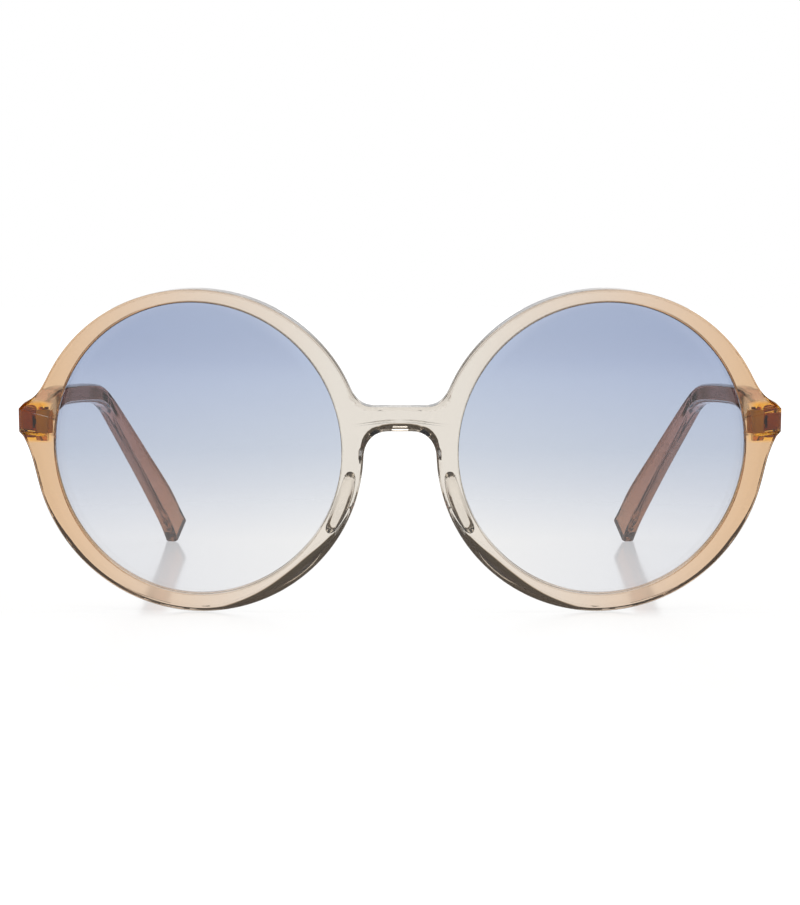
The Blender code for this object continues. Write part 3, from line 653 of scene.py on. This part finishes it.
def lean_walls(piece):
    """Along the rims the outer wall leans in towards the back, and at the ends it doesn't."""
    mesh = piece.data
    rings = mesh.attributes["ring"].data
    for edge in mesh.edges:
        front, back = sorted((mesh.vertices[k] for k in edge.vertices), key=lambda v: v.co.y)
        on_wall = all(rings[k].value == OUTLINE_RING for k in edge.vertices)
        if not on_wall or (back.co - front.co).length < FRONT_THICKNESS * WHOLE_WALL_SHARE:
            continue
        share = (WALL_LEAN_END - abs(front.co.x)) / (WALL_LEAN_END - WALL_LEAN_FULL)
        back.co.x -= front.co.x * WALL_LEAN * min(1.0, max(0.0, share))


def seat_depth():
    """How far back the flat seats of the end blocks lie."""
    return bent_point(-LENS_OFFSET - END_REACH, END_RAISE, 0).y + END_DEPTH


def faces_by_edge(mesh):
    """The faces that meet on each edge."""
    sides = {}
    for face in mesh.polygons:
        for key in face.edge_keys:
            sides.setdefault(key, []).append(face)
    return sides


def grow_lugs(piece):
    """Draws the lugs back from the rims to their flat seats."""
    notes = piece.data.attributes["lug"].data
    select_in_edit(piece, "FACE", lambda face: notes[face.index].value == 1)
    bpy.ops.mesh.extrude_region_move()
    bpy.ops.object.mode_set(mode="OBJECT")
    seat = seat_depth()
    for vertex in piece.data.vertices:
        if vertex.select:
            vertex.co.y = seat
    mesh = piece.data
    rings = mesh.attributes["ring"].data
    weights = mesh.attributes["bevel_weight_edge"].data
    lug = mesh.attributes["lug"].data
    sides = faces_by_edge(mesh)
    for edge in mesh.edges:
        if not all(rings[k].value == OUTLINE_RING for k in edge.vertices):
            continue
        first, second = sides[edge.key]
        if any(lug[face.index].value and near(face.center.y, seat) for face in (first, second)):
            weights[edge.index].value = EDGE_ROUND / LOW_CUT
        elif first.normal.dot(second.normal) > SAME_WALL:
            weights[edge.index].value = 0


def make_front():
    """The front: a plate with two openings, bent and leaned, with a lug for each hinge."""
    piece = thickened_half()
    apply_modifier(piece, "MIRROR", use_axis=(True, False, False), merge_threshold=SAME_PLACE)
    piece.name = piece.data.name = "acetate_front"
    bent_and_leaned(piece)
    lean_walls(piece)
    grow_lugs(piece)
    face_outwards(piece)
    return piece


def round_edges(piece):
    """Cuts the back edges and rounds the others, and keeps the flat faces flat to the light."""
    mesh = piece.data
    cuts = mesh.attributes["bevel_weight_edge"].data
    rounds = mesh.attributes["rounded_edge"].data
    mesh.shade_smooth()
    faces = faces_by_edge(mesh)
    for edge in mesh.edges:
        sides = faces[edge.key]
        square = len(sides) == 2 and sides[0].normal.dot(sides[1].normal) < SHARP_TURN
        edge.use_edge_sharp = square and cuts[edge.index].value + rounds[edge.index].value == 0
    apply_modifier(piece, "BEVEL", width=LOW_CUT, segments=CUT_SEGMENTS, limit_method="WEIGHT",
                   profile=CUT_PROFILE, use_clamp_overlap=False)
    rounds = [note.value for note in mesh.attributes["rounded_edge"].data]
    mesh.attributes["bevel_weight_edge"].data.foreach_set("value", rounds)
    apply_modifier(piece, "BEVEL", width=LOW_CUT, segments=EDGE_SEGMENTS, limit_method="WEIGHT",
                   use_clamp_overlap=False)
    apply_modifier(piece, "WEIGHTED_NORMAL", keep_sharp=True)


def lens_rings(side):
    """Rings of a lens from its front pole round its square edge to its back pole."""
    edge = OPENING_RADIUS - LENS_FIT
    half = LENS_THICKNESS / 2
    radii = [edge * k / LENS_DOME_RINGS for k in range(1, LENS_DOME_RINGS + 1)]
    profile = [(r, GROOVE_SET_BACK - half - LENS_DOME * (1 - (r / edge) ** 2)) for r in radii]
    profile += [
        (edge + LENS_SEATED, GROOVE_SET_BACK - half),
        (edge + LENS_SEATED, GROOVE_SET_BACK + half),
    ]
    profile += [(r, GROOVE_SET_BACK + half - LENS_DOME * (1 - (r / edge) ** 2)) for r in reversed(radii)]
    rings = []
    for radius, back in profile:
        ring = []
        for k in range(LENS_SEGMENTS):
            turn = 2 * math.pi * k / LENS_SEGMENTS
            across = LENS_OFFSET - radius * math.cos(turn)
            ring.append(Vector((side * across, back, radius * math.sin(turn))))
        rings.append(ring)
    return rings


def make_lens(name, side):
    """A lens: a domed disc with a bevelled edge, closed at both poles and bent with the front."""
    rings = lens_rings(side)
    piece = drawn_out(name, rings)
    for back in (rings[0][0].y, rings[-1][0].y):
        def in_middle(vertex):
            away = math.hypot(vertex.co.x - side * LENS_OFFSET, vertex.co.z)
            return near(vertex.co.y, back) and away < OPENING_RADIUS / LENS_DOME_RINGS
        select_in_edit(piece, "VERT", in_middle)
        bpy.ops.mesh.delete(type="FACE")
        bpy.ops.object.mode_set(mode="OBJECT")
        select_in_edit(piece, "VERT", in_middle)
        bpy.ops.mesh.fill_grid(span=LENS_SEGMENTS // 4)
        bpy.ops.object.mode_set(mode="OBJECT")
    face_outwards(piece)
    bent_and_leaned(piece)
    smooth(piece, LENS_SMOOTH_DEGREES)
    return piece


def smooth(piece, degrees):
    """Shades a piece smooth, but for edges that turn by more than an angle."""
    bpy.ops.object.select_all(action="DESELECT")
    piece.select_set(True)
    bpy.context.view_layer.objects.active = piece
    bpy.ops.object.shade_smooth_by_angle(angle=math.radians(degrees))


def pad_rings(side):
    """Rings of a nose pad along the lower inner side of its rim, slim at both ends."""
    rings = []
    for step in range(PAD_STEPS + 1):
        share = step / PAD_STEPS
        swell = max(PAD_LEAST_SWELL_SHARE, math.sin(math.pi * share) ** PAD_FULLNESS)
        width_share = PAD_LEAST_WIDTH_SHARE + (1 - PAD_LEAST_WIDTH_SHARE) * swell
        point, _ = rim_point(PAD_START_DEGREES + (PAD_END_DEGREES - PAD_START_DEGREES) * share)
        way = Vector((point.x + LENS_OFFSET, 0, point.z))
        outer = way.length - PAD_EDGE
        inner = OPENING_RADIUS + PAD_INSET
        way.normalize()
        middle, half = (outer + inner) / 2, (outer - inner) / 2 * width_share
        ring = []
        for across, back in PAD_SECTION_SHARES:
            radius = middle + half * (2 * across - 1)
            depth = FRONT_THICKNESS + PAD_GLUE + PAD_DEPTH * swell * back
            ring.append(Vector((side * (LENS_OFFSET - way.x * radius), depth, way.z * radius)))
        rings.append(ring)
    return rings


def make_pad(name, side):
    """A nose pad: a bar drawn along the rim, flat where it is bonded and soft everywhere else."""
    piece = drawn_out(name, pad_rings(side))
    mesh = piece.data
    creases = mesh.attributes.new("crease_edge", "FLOAT", "EDGE")
    for edge in mesh.edges:
        ends = [mesh.vertices[k].co.y for k in edge.vertices]
        if all(near(end, FRONT_THICKNESS + PAD_GLUE) for end in ends):
            creases.data[edge.index].value = PAD_CREASE
    apply_modifier(piece, "SUBSURF", levels=PAD_SUBDIVISIONS,
                   render_levels=PAD_SUBDIVISIONS)
    bent_and_leaned(piece)
    smooth(piece, PAD_SMOOTH_DEGREES)
    return piece


def curve_through(values, share):
    """A smooth curve through evenly numbered values, read at a share of its run."""
    place = share * (len(values) - 1)
    k = min(int(place), len(values) - 2)
    t = place - k
    here, following = values[k], values[k + 1]
    before = values[k - 1] if k else here * 2 - following
    after = values[k + 2] if k + 2 < len(values) else following * 2 - here
    return (
        here * 2 + (following - before) * t
        + (before * 2 - here * 5 + following * 4 - after) * t * t
        + (here * 3 - before - following * 3 + after) * t**3
    ) / 2


def temple_line(tip_height):
    """Points on the left temple's middle line, about the hinge axis."""
    inner = -BARREL_CLEARANCE - BARREL_RADIUS - TEMPLE_THICKNESS / 2
    start = Vector((inner, -BARREL_CLEARANCE - BARREL_RADIUS + SEAT_GAP, 0))
    points = []
    for along, rise, inset in ARM_LINE_SHARES:
        points.append(start + Vector((inset * TEMPLE_INSET, along * TEMPLE_REACH, rise * TEMPLE_RISE)))
    bend = points[-1]
    for along, drop, inset in DROP_LINE_SHARES:
        fall = drop * (tip_height - bend.z)
        points.append(bend + Vector((inset * TIP_INSET, along * TIP_REACH, fall)))
    return points


def temple_ring(middle, way, height, thickness, slant=0.0):
    """A rounded rectangle square to the temple's line, or slanted with its top edge held back."""
    inboard = Vector((way.y, -way.x, 0)).normalized()
    upward = inboard.cross(way).normalized()
    edge = min(TEMPLE_EDGE, min(thickness, height) * TEMPLE_EDGE_LIMIT_SHARE)
    ring = []
    for side, lift in ((1, 1), (-1, 1), (-1, -1), (1, -1)):
        corner = Vector((side * (thickness / 2 - edge), lift * (height / 2 - edge)))
        swing = math.atan2(lift, side) - math.pi / 4
        for step in range(CORNER_STEPS + 1):
            turn = swing + step / CORNER_STEPS * math.pi / 2
            across = corner.x + edge * math.cos(turn)
            up = corner.y + edge * math.sin(turn)
            ring.append(middle + inboard * across + upward * up - way * up * slant)
    return ring


def temple_rings(tip_height):
    """Rings of the left temple from the hinge to its tip, about the hinge axis."""
    line = temple_line(tip_height)
    rings = []
    for step in range(TEMPLE_STEPS + 1):
        share = step / TEMPLE_STEPS
        middle = curve_through(line, share)
        nearby = 1 / TEMPLE_STEPS / 2
        ahead = curve_through(line, min(1, share + nearby)) - curve_through(line, max(0, share - nearby))
        way = ahead.normalized() if step else Vector((0, 1, 0))
        slim, tip = curve_through(SLIM_SHARES, share), curve_through(TIP_SHARES, share)
        height = TEMPLE_FRONT_HEIGHT + (TEMPLE_SLIM_HEIGHT - TEMPLE_FRONT_HEIGHT) * slim
        height += (TIP_HEIGHT - TEMPLE_SLIM_HEIGHT) * tip
        thinned = max(0.0, share - TEMPLE_FLAT_SHARE) / (1 - TEMPLE_FLAT_SHARE)
        thickness = TEMPLE_THICKNESS + (TIP_THICKNESS - TEMPLE_THICKNESS) * thinned
        slant = TIP_SLANT * max(0.0, 1 - (TEMPLE_STEPS - step) / TIP_SLANT_STEPS)
        rings.append(temple_ring(middle, way, height, thickness, slant))
    for step in range(1, TIP_NOSE_STEPS):
        turn = math.pi / 2 * step / TIP_NOSE_STEPS
        keep = math.cos(turn)
        rings.append(temple_ring(
            middle + way * TIP_NOSE * math.sin(turn), way, height * keep, thickness * math.sqrt(keep), slant,
        ))
    return rings


def settled_tip():
    """Height of the tip's middle about the hinge, for a tip that rests on the table."""
    tip_height = TIP_HEIGHT / 2 - HINGE_AXIS.z
    for _ in range(SETTLE_STEPS):
        lowest = min(point.z for ring in temple_rings(tip_height) for point in ring)
        tip_height -= lowest + HINGE_AXIS.z
    return tip_height


def make_temple(name, side):
    """A temple: a bar drawn out along its line, with soft edges and a blunt, slanted tip."""
    rings = []
    for ring in temple_rings(settled_tip()):
        rings.append([Vector((
            -side * (HINGE_AXIS.x + point.x), HINGE_AXIS.y + point.y, HINGE_AXIS.z + point.z,
        )) for point in ring])
    piece = drawn_out(name, rings)
    smooth(piece, TEMPLE_SMOOTH_DEGREES)
    apply_modifier(piece, "WEIGHTED_NORMAL", keep_sharp=True)
    return piece


def new_material(name):
    """A material with a Principled shader, its node tree and the shader."""
    material = bpy.data.materials.new(name)
    material.use_nodes = True
    return material, material.node_tree, material.node_tree.nodes["Principled BSDF"]


def object_axis(tree, axis):
    """The X, Y or Z of a point on the piece."""
    place = tree.nodes.new("ShaderNodeTexCoord")
    split = tree.nodes.new("ShaderNodeSeparateXYZ")
    tree.links.new(place.outputs["Object"], split.inputs[0])
    return split.outputs[axis]


def math_node(tree, operation, first, second=None):
    """A sum on one or two values, each a socket or a number."""
    node = tree.nodes.new("ShaderNodeMath")
    node.operation = operation
    for socket, value in zip(node.inputs, (first, second)):
        if isinstance(value, (int, float)):
            socket.default_value = value
        elif value is not None:
            tree.links.new(value, socket)
    return node.outputs[0]


def share_between(tree, value, low, high, kind="SMOOTHSTEP"):
    """Runs from 0 to 1 as the value goes from low to high, smoothly, or evenly if LINEAR."""
    node = tree.nodes.new("ShaderNodeMapRange")
    node.interpolation_type = kind
    tree.links.new(value, node.inputs["Value"])
    node.inputs["From Min"].default_value = low
    node.inputs["From Max"].default_value = high
    return node.outputs["Result"]


def ramp_along(tree, value, low, high, stops):
    """Colours that run evenly through the stops as the value goes from low to high."""
    return colour_ramp(tree, share_between(tree, value, low, high, "LINEAR"), stops)


def mixed(tree, share, first, second, blend="MIX"):
    """Mixes two colours; a share or colour is a socket or a constant."""
    node = tree.nodes.new("ShaderNodeMix")
    node.data_type = "RGBA"
    node.blend_type = blend
    for name, value in (("Factor_Float", share), ("A_Color", first), ("B_Color", second)):
        socket = next(entry for entry in node.inputs if entry.identifier == name)
        if isinstance(value, bpy.types.NodeSocket):
            tree.links.new(value, socket)
        else:
            socket.default_value = value if isinstance(value, float) else (*value, 1.0)
    return next(entry for entry in node.outputs if entry.identifier == "Result_Color")


def colour_ramp(tree, value, stops):
    """A colour that changes evenly from stop to stop as the value goes from 0 to 1."""
    node = tree.nodes.new("ShaderNodeValToRGB")
    elements = node.color_ramp.elements
    while len(elements) < len(stops):
        elements.new(0.5)
    for element, (place, colour) in zip(elements, stops):
        element.position = place
        element.color = (*colour, 1.0)
    tree.links.new(value, node.inputs["Fac"])
    return node.outputs["Color"]


def polish(tree, shader, least, most, scale):
    """Roughness that wanders a little over a hand-polished surface."""
    place = tree.nodes.new("ShaderNodeTexCoord")
    noise = tree.nodes.new("ShaderNodeTexNoise")
    noise.inputs["Scale"].default_value = scale
    noise.inputs["Detail"].default_value = POLISH_DETAIL
    tree.links.new(place.outputs["Object"], noise.inputs["Vector"])
    node = tree.nodes.new("ShaderNodeMapRange")
    tree.links.new(noise.outputs["Fac"], node.inputs["Value"])
    node.inputs["To Min"].default_value = least
    node.inputs["To Max"].default_value = most
    tree.links.new(node.outputs["Result"], shader.inputs["Roughness"])


def depth_tint(tree, colour, density):
    """Colour that deepens with the thickness that light has gone through."""
    volume = tree.nodes.new("ShaderNodeVolumeAbsorption")
    volume.inputs["Color"].default_value = (*colour, 1.0)
    volume.inputs["Density"].default_value = density
    tree.links.new(volume.outputs[0], tree.nodes["Material Output"].inputs["Volume"])


def see_through(name, ior=ACETATE_IOR, transmission=1.0):
    """A material that light goes through, its node tree and its shader."""
    material, tree, shader = new_material(name)
    shader.inputs["Transmission Weight"].default_value = transmission
    shader.inputs["IOR"].default_value = ior
    return material, tree, shader


def front_acetate():
    """See-through acetate, peach at the sides and near colourless at the bridge, with painted amber shade on
    the lugs.
    """
    material, tree, shader = see_through("front_acetate")
    across = math_node(tree, "ABSOLUTE", object_axis(tree, "X"))
    colour = ramp_along(tree, across, FRONT_RUN_FROM, FRONT_RUN_TO, FRONT_COLOURS)
    # Painted amber shade on the lugs, in a band about the hinge's height at the outer ends
    off_lug = math_node(tree, "ABSOLUTE", math_node(
        tree, "SUBTRACT", object_axis(tree, "Z"), HINGE_AXIS.z))
    on_lug = math_node(tree, "MULTIPLY", share_between(tree, across, LUG_SHADE_FROM, LUG_SHADE_FULL),
                       share_between(tree, off_lug, LUG_SHADE_HALF_END, LUG_SHADE_HALF_FULL))
    tree.links.new(mixed(tree, on_lug, colour, LUG_SHADE_AMBER), shader.inputs["Base Color"])
    polish(tree, shader, *FRONT_POLISH)
    depth_tint(tree, FRONT_DEPTH_COLOUR, FRONT_DEPTH_DENSITY)
    return material


def temple_acetate():
    """See-through brown acetate, darker towards the tip, with painted amber light at the hinge end."""
    material, tree, shader = see_through("temple_acetate")
    # Painted amber light at the hinge end, then brown acetate that darkens towards the tip
    colour = ramp_along(tree, object_axis(tree, "Y"), TEMPLE_RUN_FROM, TEMPLE_RUN_TO, TEMPLE_TONES_AND_PAINTED_END_LIGHT)
    tree.links.new(colour, shader.inputs["Base Color"])
    polish(tree, shader, *TEMPLE_POLISH)
    depth_tint(tree, TEMPLE_DEPTH_COLOUR, TEMPLE_DEPTH_DENSITY)
    return material


def sawn_acetate():
    """The front ends of the temples, sawn and left a little cloudy, with painted light making them lighter
    towards the top.
    """
    material, tree, shader = see_through("sawn_acetate", transmission=SAWN_TRANSMISSION)
    # Painted top light: the sawn ends grow lighter upwards
    colour = ramp_along(tree, object_axis(tree, "Z"), SAWN_FROM, SAWN_TO, SAWN_AMBER_AND_TOP_LIGHT)
    tree.links.new(colour, shader.inputs["Base Color"])
    polish(tree, shader, *SAWN_POLISH)
    depth_tint(tree, TEMPLE_DEPTH_COLOUR, TEMPLE_DEPTH_DENSITY)
    return material


def pad_acetate():
    """See-through acetate, nearly without colour."""
    material, tree, shader = see_through("pad_acetate")
    share = share_between(tree, object_axis(tree, "Z"), PAD_TINT_FROM, PAD_TINT_TO)
    tree.links.new(colour_ramp(tree, share, PAD_COLOURS), shader.inputs["Base Color"])
    polish(tree, shader, *PAD_POLISH)
    depth_tint(tree, PAD_DEPTH_COLOUR, PAD_DEPTH_DENSITY)
    return material


def lens_tint(node):
    """Blue tint that fades to clear at the foot of the lens."""
    low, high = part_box(node)
    material, tree, shader = see_through(f"{node}_tint", LENS_IOR)
    upwards = ramp_along(tree, object_axis(tree, "Z"), low.z, high.z, TINT_COLOURS)
    near_edge, far_edge = sorted((abs(low.x), abs(high.x)))
    away = math_node(tree, "ABSOLUTE", object_axis(tree, "X"))
    outwards = ramp_along(tree, away, near_edge, far_edge, TINT_ACROSS)
    tree.links.new(mixed(tree, 1.0, upwards, outwards, "MULTIPLY"), shader.inputs["Base Color"])
    polish(tree, shader, *LENS_POLISH)
    return material


def gold_plate(name, polishing):
    """Pale gold plating, painted lighter towards the top as top light, with the fine marks of polishing."""
    material, tree, shader = new_material(name)
    # Painted top light: the plating grows lighter from the hinge's foot to its head
    share = share_between(tree, object_axis(tree, "Z"), PLATING_FROM, PLATING_TO)
    tree.links.new(colour_ramp(tree, share, PLATING_AND_TOP_LIGHT), shader.inputs["Base Color"])
    shader.inputs["Metallic"].default_value = 1.0
    polish(tree, shader, *polishing)
    return material


def put_on(piece, node, body, material):
    """A modelled piece takes the place of its solid, on the same body."""
    piece.data.materials.clear()
    piece.data.materials.append(material)
    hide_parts(node)
    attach(piece, body)


def dress():
    """Models the see-through pieces and gives every piece its finish."""
    temple, sawn, pad = temple_acetate(), sawn_acetate(), pad_acetate()
    front = make_front()
    round_edges(front)
    put_on(front, "frame_front", "front", front_acetate())
    leaf_metal = gold_plate("hinge_plating", LEAF_POLISH)
    screw_metal = gold_plate("screw_plating", SCREW_POLISH)
    for word, side in (("left", -1), ("right", 1)):
        lens = make_lens(f"tinted_lens_{word}", side)
        put_on(lens, f"lens_{word}", "front", lens_tint(f"lens_{word}"))
        nose_pad = make_pad(f"bonded_pad_{word}", side)
        put_on(nose_pad, f"nose_pad_{word}", "front", pad)
        arm = make_temple(f"acetate_temple_{word}", side)
        put_on(arm, f"temple_{word}", f"temple_{word}", temple)
        arm.data.materials.append(sawn)
        for face in arm.data.polygons:
            face.material_index = int(face.normal.y < -FACING)
        for node, material in (
            (f"hinge_front_leaf_{word}", leaf_metal),
            (f"hinge_temple_leaf_{word}", leaf_metal),
            (f"hinge_screw_{word}", screw_metal),
        ):
            frame["nodes"][node].data.materials.clear()
            frame["nodes"][node].data.materials.append(material)


def mixed_shaders(tree, share, first, second):
    """Mixes two shaders; the share is a socket or a constant."""
    node = tree.nodes.new("ShaderNodeMixShader")
    if isinstance(share, float):
        node.inputs["Fac"].default_value = share
    else:
        tree.links.new(share, node.inputs["Fac"])
    tree.links.new(first, node.inputs[1])
    tree.links.new(second, node.inputs[2])
    return node.outputs[0]


def unseen_by_camera(tree):
    """1 for every ray but the camera's own, and 0 for that."""
    path = tree.nodes.new("ShaderNodeLightPath")
    return math_node(tree, "SUBTRACT", 1.0, path.outputs["Is Camera Ray"])


def table_gloss(tree):
    """The table's shine and its share, which grows with a grazing view, behind the glasses' front."""
    gloss = tree.nodes.new("ShaderNodeBsdfGlossy")
    gloss.inputs["Color"].default_value = (1.0, 1.0, 1.0, 1.0)
    gloss.inputs["Roughness"].default_value = TABLE_GLOSS_ROUGHNESS
    grazing = tree.nodes.new("ShaderNodeFresnel")
    grazing.inputs["IOR"].default_value = ACETATE_IOR
    behind = share_between(tree, object_axis(tree, "Y"), TABLE_GLOSS_FROM, TABLE_GLOSS_TO)
    share = math_node(tree, "MULTIPLY", grazing.outputs["Fac"], TABLE_GLOSS)
    return gloss.outputs[0], math_node(tree, "MULTIPLY", behind, share)


def white_table():
    """White and faintly glossy about the glasses, and seen by the camera alone far from them."""
    material, tree, shader = new_material("white_table")
    shader.inputs["Base Color"].default_value = (*TABLE_COLOUR, 1.0)
    shader.inputs["Roughness"].default_value = TABLE_ROUGHNESS
    glow = tree.nodes.new("ShaderNodeEmission")
    glow.inputs["Strength"].default_value = TABLE_GLOW_STRENGTH
    matt = mixed_shaders(tree, TABLE_GLOW_SHARE, shader.outputs[0], glow.outputs[0])
    gloss, gloss_share = table_gloss(tree)
    top = mixed_shaders(tree, gloss_share, matt, gloss)
    through = tree.nodes.new("ShaderNodeBsdfTransparent")
    distant = mixed_shaders(tree, unseen_by_camera(tree), glow.outputs[0], through.outputs[0])
    place = tree.nodes.new("ShaderNodeTexCoord")
    reach = tree.nodes.new("ShaderNodeVectorMath")
    reach.operation = "LENGTH"
    tree.links.new(place.outputs["Object"], reach.inputs[0])
    far = share_between(tree, reach.outputs["Value"], TABLE_LIT_FROM, TABLE_LIT_TO)
    tree.links.new(mixed_shaders(tree, far, top, distant),
                   tree.nodes["Material Output"].inputs["Surface"])
    return material


def make_table():
    """The table top that the glasses stand on."""
    bpy.ops.object.select_all(action="DESELECT")
    bpy.ops.mesh.primitive_plane_add(size=TABLE_SIZE, location=(0, 0, 0))
    table = bpy.context.active_object
    table.name = "table_top"
    table.data.materials.append(white_table())


def make_sky():
    """A white backdrop behind and below the glasses, in a room that is dim everywhere else.

    The camera sees it white all over; gloss and see-through pieces show the dim room too.
    """
    world = bpy.data.worlds.new("studio")
    bpy.context.scene.world = world
    world.use_nodes = True
    tree = world.node_tree
    background = tree.nodes["Background"]
    place = tree.nodes.new("ShaderNodeTexCoord")
    split = tree.nodes.new("ShaderNodeSeparateXYZ")
    tree.links.new(place.outputs["Generated"], split.inputs[0])
    aside = share_between(tree, math_node(tree, "ABSOLUTE", split.outputs["X"]),
                          BACKDROP_SIDE_FROM, BACKDROP_SIDE_TO)
    off_table = share_between(tree, split.outputs["Z"], SWEEP_FROM, SWEEP_TO)
    above = share_between(tree, split.outputs["Z"], BACKDROP_TOP_FROM, BACKDROP_TOP_TO)
    ahead = share_between(tree, split.outputs["Y"], BACKDROP_END, -BACKDROP_END)
    walls = math_node(tree, "MAXIMUM", aside, ahead)
    dim = math_node(tree, "MAXIMUM", math_node(tree, "MULTIPLY", walls, off_table), above)
    level = tree.nodes.new("ShaderNodeMapRange")
    dim_seen = math_node(tree, "MULTIPLY", dim, unseen_by_camera(tree))
    tree.links.new(dim_seen, level.inputs["Value"])
    level.inputs["To Min"].default_value = 1.0
    level.inputs["To Max"].default_value = ROOM_STRENGTH
    tree.links.new(level.outputs["Result"], background.inputs["Strength"])
    tint = mixed(tree, dim_seen, (1.0, 1.0, 1.0), ROOM_COLOUR)
    tree.links.new(tint, background.inputs["Color"])


def add_light(name, place, target, size, power):
    """A square lamp that shines at a point."""
    bpy.ops.object.light_add(type="AREA", location=place)
    light = bpy.context.active_object
    light.name = name
    light.data.size = size
    light.data.energy = power
    light.rotation_euler = (Vector(target) - Vector(place)).to_track_quat("-Z", "Y").to_euler()
    return light


def make_camera():
    """The photograph's view: level with the glasses' top and tilted a little down."""
    data = bpy.data.cameras.new("view")
    camera = bpy.data.objects.new("view", data)
    bpy.context.scene.collection.objects.link(camera)
    data.sensor_fit = "VERTICAL"
    data.sensor_height = CAMERA_SENSOR
    data.lens = CAMERA_LENS
    data.clip_start = CAMERA_CLIP
    camera.location = (0, -CAMERA_DISTANCE, CAMERA_HEIGHT)
    camera.rotation_euler = (math.pi / 2 - CAMERA_TILT, 0, 0)
    bpy.context.scene.camera = camera


def main():
    """Sets up the view, the studio and the glasses."""
    bpy.context.scene.view_settings.view_transform = "Standard"
    make_camera()
    make_sky()
    make_table()
    softbox = add_light("softbox_above", SOFTBOX_PLACE, (0, 0, 0), SOFTBOX_SIZE, SOFTBOX_POWER)
    softbox.visible_glossy = softbox.visible_transmission = False
    add_light("glint_lamp", GLINT_PLACE, GLINT_TARGET, GLINT_SIZE, GLINT_POWER)
    dress()


main()
